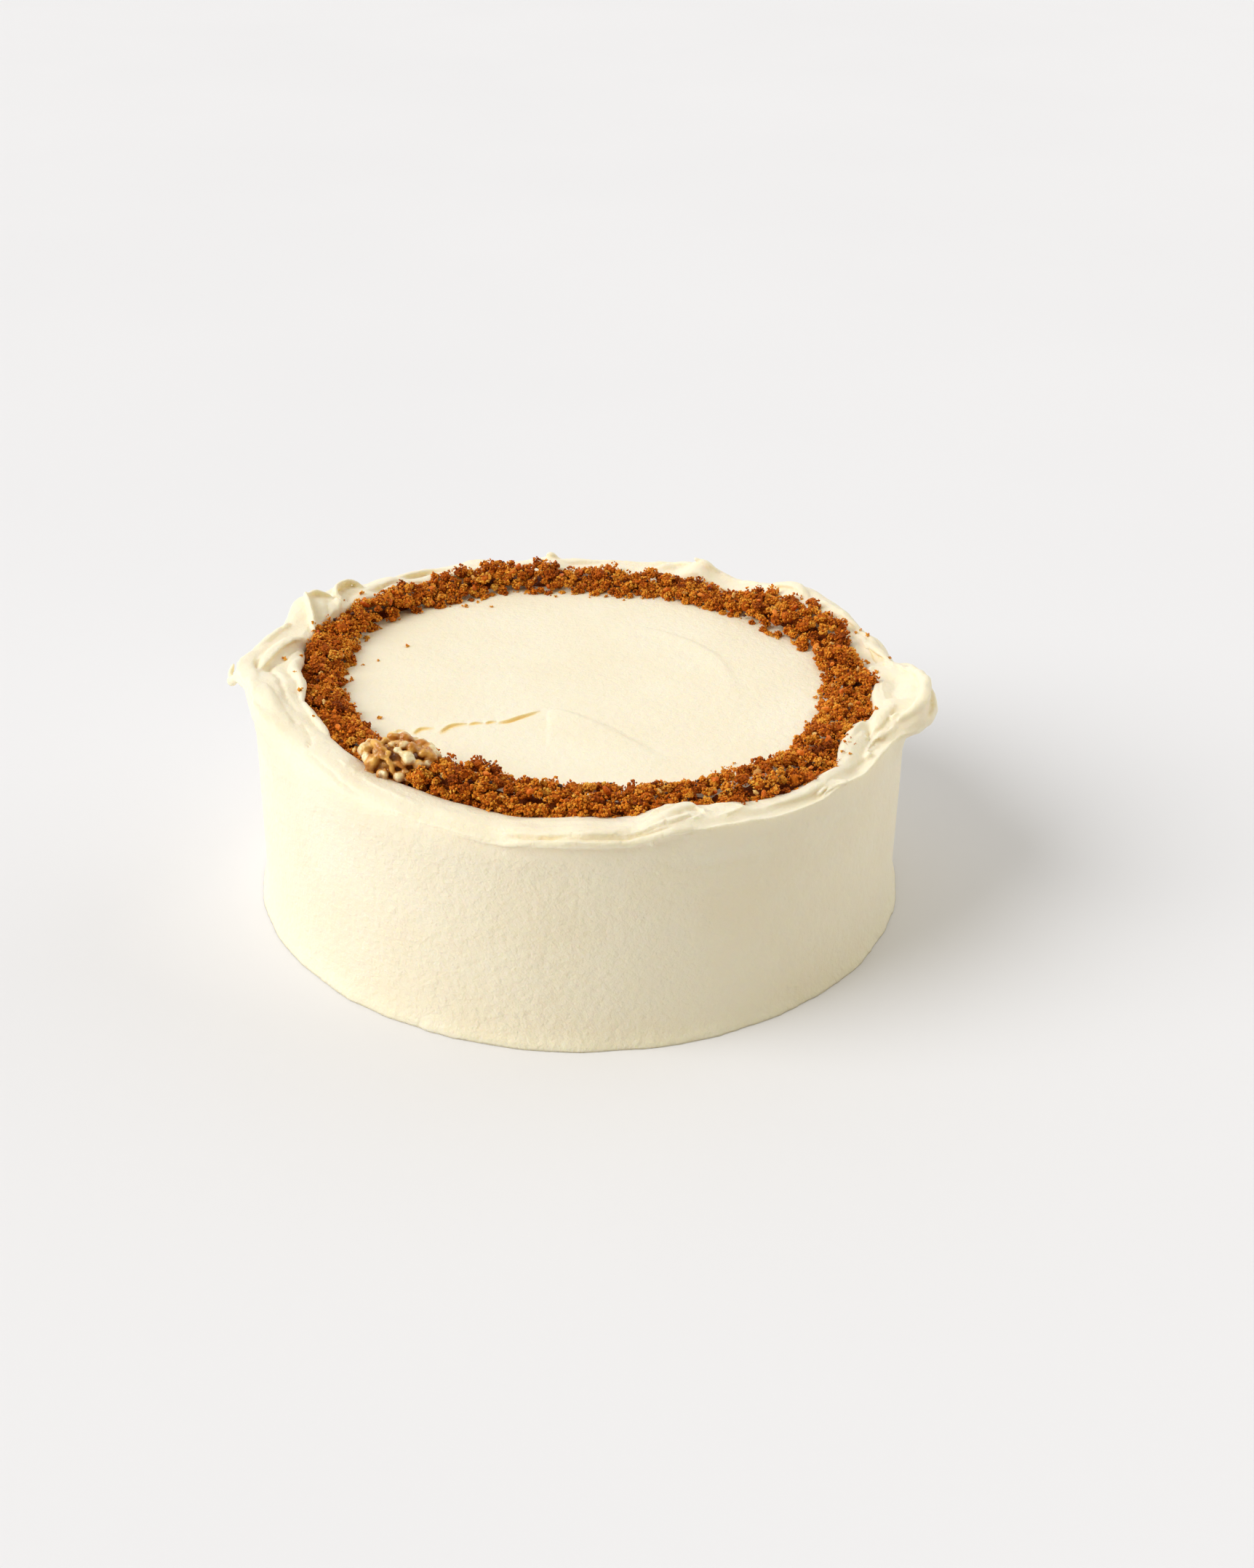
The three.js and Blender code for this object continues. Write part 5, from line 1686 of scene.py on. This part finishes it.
def dome_point(along, slope_up):
    """The point of the kernel's dome at a place on the slope that faces the front."""
    look = np.array([0, math.cos(FRONT_SLOPE), -math.sin(FRONT_SLOPE)])
    up = np.array([0, math.sin(FRONT_SLOPE), math.cos(FRONT_SLOPE)])
    half = DOME_HALF * [1, 1, FLATTER if slope_up < 0 else 1]
    start = np.array([along, 0, 0]) + slope_up * up - LINE_START * look
    a = ((look / half) ** 2).sum()
    b = 2 * (start * look / half**2).sum()
    c = ((start / half) ** 2).sum() - 1
    root = math.sqrt(max(b * b - 4 * a * c, 0))
    return start + (-b - root) / (2 * a) * look


knobs = [(dome_point(along, slope_up), *rest) for along, slope_up, *rest in KNOBS]
for _ in range(BACK_KNOBS):
    angle, rise = math.radians(knob_random.uniform(5, 175)), knob_random.uniform(0.0, 0.6)
    level = math.sqrt(1 - rise**2)
    place = DOME_HALF * [math.cos(angle) * level, math.sin(angle) * level, rise]
    half_length, half_height = knob_random.uniform(*BACK_SIZES, 2)
    turn, pale = knob_random.uniform(-60, 60), knob_random.uniform(0, 0.8)
    knobs.append((place, half_length, half_height, turn, pale))
print("the kernel has", len(knobs), "lobes")

# %% [markdown]
# Each lobe is an egg that is sunk a little into the dome and turned to lie flat on it. The plain
# dome inside is smaller than the one the lobes lie on, so the gaps between them run deep. Dome and
# eggs are poured together like the rim.

# %% Eggs on a dome
WALNUT_VOXEL = 0.35
BASE_INSET, CROWN_INSET = 2.3, 2.7  # how much smaller the plain dome is, at its sides and crown
KNOB_SUNK = 0.32  # share of its depth by which a lobe is sunk
egg_points, egg_faces = ball(4)


def knob_egg(place, half_length, half_height, turn):
    """Points and faces of one lobe, square to the dome at its place."""
    outward = unit(place / DOME_HALF**2)
    side = np.cross([0, 0, 1], outward) if abs(outward[2]) < 0.95 else np.array([1.0, 0, 0])
    side = np.sign(side[0]) * unit(side)
    up = np.cross(outward, side)
    up *= np.sign(up[2]) or 1
    angle = math.radians(turn)
    first = math.cos(angle) * side + math.sin(angle) * up
    second = -math.sin(angle) * side + math.cos(angle) * up
    depth = 0.5 * (half_length + half_height)
    egg = egg_points[:, :1] * half_length * first + egg_points[:, 1:2] * half_height * second
    egg = egg + egg_points[:, 2:] * depth * outward + place - KNOB_SUNK * depth * outward
    inside_out = np.dot(np.cross(first, second), outward) < 0
    return egg, egg_faces[:, ::-1] if inside_out else egg_faces


base = egg_points * [WALNUT_LENGTH / 2 - BASE_INSET, WALNUT_WIDTH / 2 - BASE_INSET, 1]
base[:, 2] *= np.where(egg_points[:, 2] > 0, WALNUT_DOME - CROWN_INSET, WALNUT_BELLY)
parts = [(base, egg_faces)] + [knob_egg(*knob[:4]) for knob in knobs]
turned = np.array(Matrix.Rotation(math.radians(WALNUT_TURN), 3, "Z"))
kernel_points = np.concatenate([points for points, _ in parts]) @ turned.T + WALNUT_PLACE
kernel_faces = [faces + number * len(egg_points) for number, (_, faces) in enumerate(parts)]
walnut = make_object("walnut", kernel_points, np.concatenate(kernel_faces).tolist(), kernel_skin)
pour_together(walnut, WALNUT_VOXEL, 2)
shade_smooth(walnut)
print("walnut has", triangle_count(walnut), "triangles")

# %% [markdown]
# The skin of a kernel is wrinkled all over. Each point then takes the paleness of the lobe that it
# lies on. The paleness fades out towards the gaps, and noise makes its edge uneven.

# %% Wrinkles and rubbed places
WRINKLE_DEPTH, WRINKLE_WIDTH = 0.34, 2.6
RUBBED_FROM, RUBBED_TO = 0.7, 1.35  # distances from a lobe's middle, in its own sizes
points, normals = mesh_points(walnut), mesh_normals(walnut)
wrinkles = WRINKLE_DEPTH * rough_noise(points, WRINKLE_WIDTH, 3, seed=95)
points = points + normals * wrinkles[:, None]
move_points(walnut, points)
local = (points - WALNUT_PLACE) @ turned
paleness = np.zeros(len(points))
for place, half_length, half_height, _, pale in knobs:
    away = np.linalg.norm(local - place * 1.06, axis=1) / (0.5 * (half_length + half_height))
    paleness = np.maximum(paleness, pale * (1 - smoothstep(away, RUBBED_FROM, RUBBED_TO)))
paleness = smoothstep(paleness + 0.22 * noise(points, 1.6, seed=96), 0.2, 0.7)
store_values(walnut, "worn", paleness)
print("rubbed pale:", round(100 * (paleness > 0.5).mean()), "% of the kernel")

# %% [markdown]
# ## Stray crumbs
# Some crumbs rolled off the heap: onto the smooth top, and a few into creases of the rim. The
# single ones have a named place. Others lie just off the heap's edges, most of them off its inner
# edge, where the top is level.

# %% Places of the stray crumbs
STRAYS = [
    (-61, 29.5), (-77.5, 3.5), (-70, 18), (-33, 64), (-2, 76), (-66, -25), (44, -60), (30, -70),
    (-100, 3.5), (98.5, 38), (100.5, 33), (96.5, 36), (106.5, 22), (98.8, 17), (99.5, 3), (95.5, 11),
]
EDGE_STRAYS, INNER_SHARE = 150, 0.75
INNER_REACH, OUTER_REACH = 1.3, 0.7  # how far they rolled on average
stray_random = np.random.default_rng(29)
stray_azimuth = stray_random.uniform(-180, 180, EDGE_STRAYS)
inner_edge, outer_edge, _ = heap_at(stray_azimuth)
off_inner = inner_edge - stray_random.exponential(INNER_REACH, EDGE_STRAYS)
off_outer = outer_edge + stray_random.exponential(OUTER_REACH, EDGE_STRAYS)
stray_radius = np.where(stray_random.uniform(0, 1, EDGE_STRAYS) < INNER_SHARE, off_inner, off_outer)
stray_xy = np.concatenate([np.array(STRAYS), polar(stray_radius, stray_azimuth, 0.0)[:, :2]])
print(len(stray_xy), "crumbs lie off the heap")

# %% [markdown]
# Each stray crumb is a small cluster of grains that is dropped straight down onto the frosting by
# a ray, so it rests on the real surface.

# %% Crumbs that rolled away
STRAY_GRAINS = 8
RAY_START = 0.12  # metres up, above all of the cake


def rest_on_frosting(x, y):
    """Height of the frosting at a place."""
    hit, place, _, _ = frosting.ray_cast(Vector((x * MM, y * MM, RAY_START)), Vector((0, 0, -1)))
    return place.z / MM if hit else TOP_HEIGHT


stray_places = np.array([(x, y, rest_on_frosting(x, y)) for x, y in stray_xy])
stray_size = stray_random.uniform(0.5, 1.1, len(stray_places))
stray_size[len(STRAYS):] *= stray_random.uniform(0.3, 1.2, EDGE_STRAYS)
spots = stray_random.normal(0, 0.45, (len(stray_places), STRAY_GRAINS, 3))
spots = spots * stray_size[:, None, None]
spots[..., 2] = np.abs(spots[..., 2]) * 0.8
grain_spots = (stray_places[:, None] + spots).reshape(-1, 3)
spot_sizes = stray_random.uniform(0.3, 0.6, len(grain_spots))
spot_sizes = spot_sizes * np.repeat(np.clip(stray_size, 0.5, 1), STRAY_GRAINS)
grain_spots[:, 2] += 0.4 * spot_sizes
stray_crumbs = lump_piece("stray_crumbs", stray_random, grain_spots, spot_sizes, golden)

# %% [markdown]
# ## Riding and replacing
# The cake has one body, so every piece rides on root. The solids that the pieces stand for are
# hidden.

# %% Tie the pieces to the frame
heap_pieces = [crumb_core, crumb_middles, *grain_pieces]
for piece in [frosting, *heap_pieces, carrot_bits, nut_bits, dark_specks, walnut, stray_crumbs]:
    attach(piece, "root")
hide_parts("frosted_cake")
for piece in heap_pieces:
    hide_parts("crumb_ring")
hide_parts("walnut_half")
meshes = [piece for piece in bpy.context.scene.objects if piece.type == "MESH"]
print("all meshes together have about", sum(map(triangle_count, meshes)), "triangles")

# %% [markdown]
# ## Studio
# The floor is wide, pale and matt, so that it has no edge in view. It is part of the stage and not
# of the cake. It lies just below the cake's underside, so that the two never share a plane.

# %% Floor
FLOOR_HALF, FLOOR_HEIGHT = 20000, -0.2
floor_material, tree, shader = finish("studio_floor", 0.9, 0.1)
floor_tone = place_group(
    tree, drift, One=(0.795, 0.8, 0.84), Other=(0.805, 0.81, 0.85), Cells_per_metre=2.0,
)
wire(tree, (floor_tone.outputs["Color"], shader.inputs["Base Color"]))
turns = [(-1, -1), (1, -1), (1, 1), (-1, 1)]
corners = [(x * FLOOR_HALF, y * FLOOR_HALF, FLOOR_HEIGHT) for x, y in turns]
floor = make_object("studio_floor", corners, [(0, 1, 2, 3)], floor_material, smooth=False)
print("the floor is", 2 * FLOOR_HALF * MM, "m wide")

# %% [markdown]
# One large window at the left gives the cake its light and its soft shadow. A weaker and warmer
# light from the right keeps the shaded side open. Both are suns, whose light doesn't fall off.

# %% Lights
def sun(name, azimuth, height, strength, spread, color):
    """A far soft light that comes from an azimuth and a height, both in degrees."""
    light = bpy.data.lights.new(name, "SUN")
    light.energy, light.angle, light.color = strength, math.radians(spread), color
    lamp = bpy.data.objects.new(name, light)
    bpy.context.scene.collection.objects.link(lamp)
    side = math.cos(math.radians(height))
    source = Vector((*polar(side, azimuth, 0.0)[:2], math.sin(math.radians(height))))
    lamp.rotation_mode = "QUATERNION"
    lamp.rotation_quaternion = (-source).to_track_quat("-Z", "Y")
    return lamp


lamps = [
    sun("key", -72, 38, 2.3, 42, (1.0, 0.99, 0.97)),
    sun("right_fill", 110, 26, 0.76, 60, (1.0, 0.975, 0.9)),
]
print("lights:", [(lamp.name, round(lamp.data.energy, 2)) for lamp in lamps])

# %% [markdown]
# The room is bright all round. It is darker and warmer towards the front right, where someone
# stands with the camera, which gives the side of the cake its shade. How far a direction turns
# towards that place sets both the strength and the colour of the room's light.

# %% Bright room
DARK_SIDE = 22  # azimuth of the darkest part of the room
ROOM_STRENGTH, ROOM_SHADE = 0.86, 0.24
ROOM_WARMTH = (1.0, 0.85, 0.46, 1)
world = bpy.data.worlds.new("bright_room")
world.use_nodes = True
room = world.node_tree
background = room.nodes["Background"]
direction = add_node(room, "ShaderNodeTexCoord")
toward_dark = add_node(room, "ShaderNodeVectorMath", {"operation": "DOT_PRODUCT"})
toward_dark.inputs[1].default_value = polar(1.0, DARK_SIDE, 0.0).tolist()
room_range = {"From Min": -1.0, "From Max": 1.0, "To Min": ROOM_STRENGTH, "To Max": ROOM_SHADE}
room_range = add_node(room, "ShaderNodeMapRange", values=room_range)
warm_share = add_node(room, "ShaderNodeMapRange", values={"From Min": -0.2, "From Max": 1.0})
room_color = blend(room, warm_share.outputs["Result"], WHITE, ROOM_WARMTH)
wire(
    room,
    (direction.outputs["Generated"], toward_dark.inputs[0]),
    (toward_dark.outputs["Value"], room_range.inputs["Value"]),
    (toward_dark.outputs["Value"], warm_share.inputs["Value"]),
    (room_range.outputs["Result"], background.inputs["Strength"]),
    (room_color, background.inputs["Color"]),
)
bpy.context.scene.world = world
bpy.context.scene.view_settings.view_transform = "Standard"
print("the room's light runs from", ROOM_SHADE, "to", ROOM_STRENGTH)

# %% [markdown]
# ## Camera
# The camera looks down on the cake from in front, 29 degrees below level. Its place and its two
# angles are given, with the slight roll of a hand-held shot, and the lens is set for a tall image
# of 1724 by 2156 pixels.

# %% Camera
IMAGE_HEIGHT = 2156
FOCAL_PIXELS = 2775
SENSOR = 36.0
CAMERA_PLACE = Vector((-1.4, -610.2, 372.7)) * MM
YAW, PITCH, ROLL = 1.62, 29.15, 1.08

camera_data = bpy.data.cameras.new("camera")
camera_data.sensor_width = SENSOR
camera_data.lens = FOCAL_PIXELS / IMAGE_HEIGHT * SENSOR
camera = bpy.data.objects.new("camera", camera_data)
bpy.context.scene.collection.objects.link(camera)
yaw, pitch, roll = (math.radians(angle) for angle in (YAW, PITCH, ROLL))
ahead = Vector((math.sin(yaw) * math.cos(pitch), math.cos(yaw) * math.cos(pitch), -math.sin(pitch)))
right = Vector((math.cos(yaw), -math.sin(yaw), 0))
up = right.cross(ahead)
rolled_right = math.cos(roll) * right + math.sin(roll) * up
rolled_up = math.cos(roll) * up - math.sin(roll) * right
axes = Matrix((rolled_right, rolled_up, -ahead)).transposed()
camera.matrix_world = Matrix.Translation(CAMERA_PLACE) @ axes.to_4x4()
bpy.context.scene.camera = camera
print("the lens is", round(camera_data.lens, 1), "mm long")
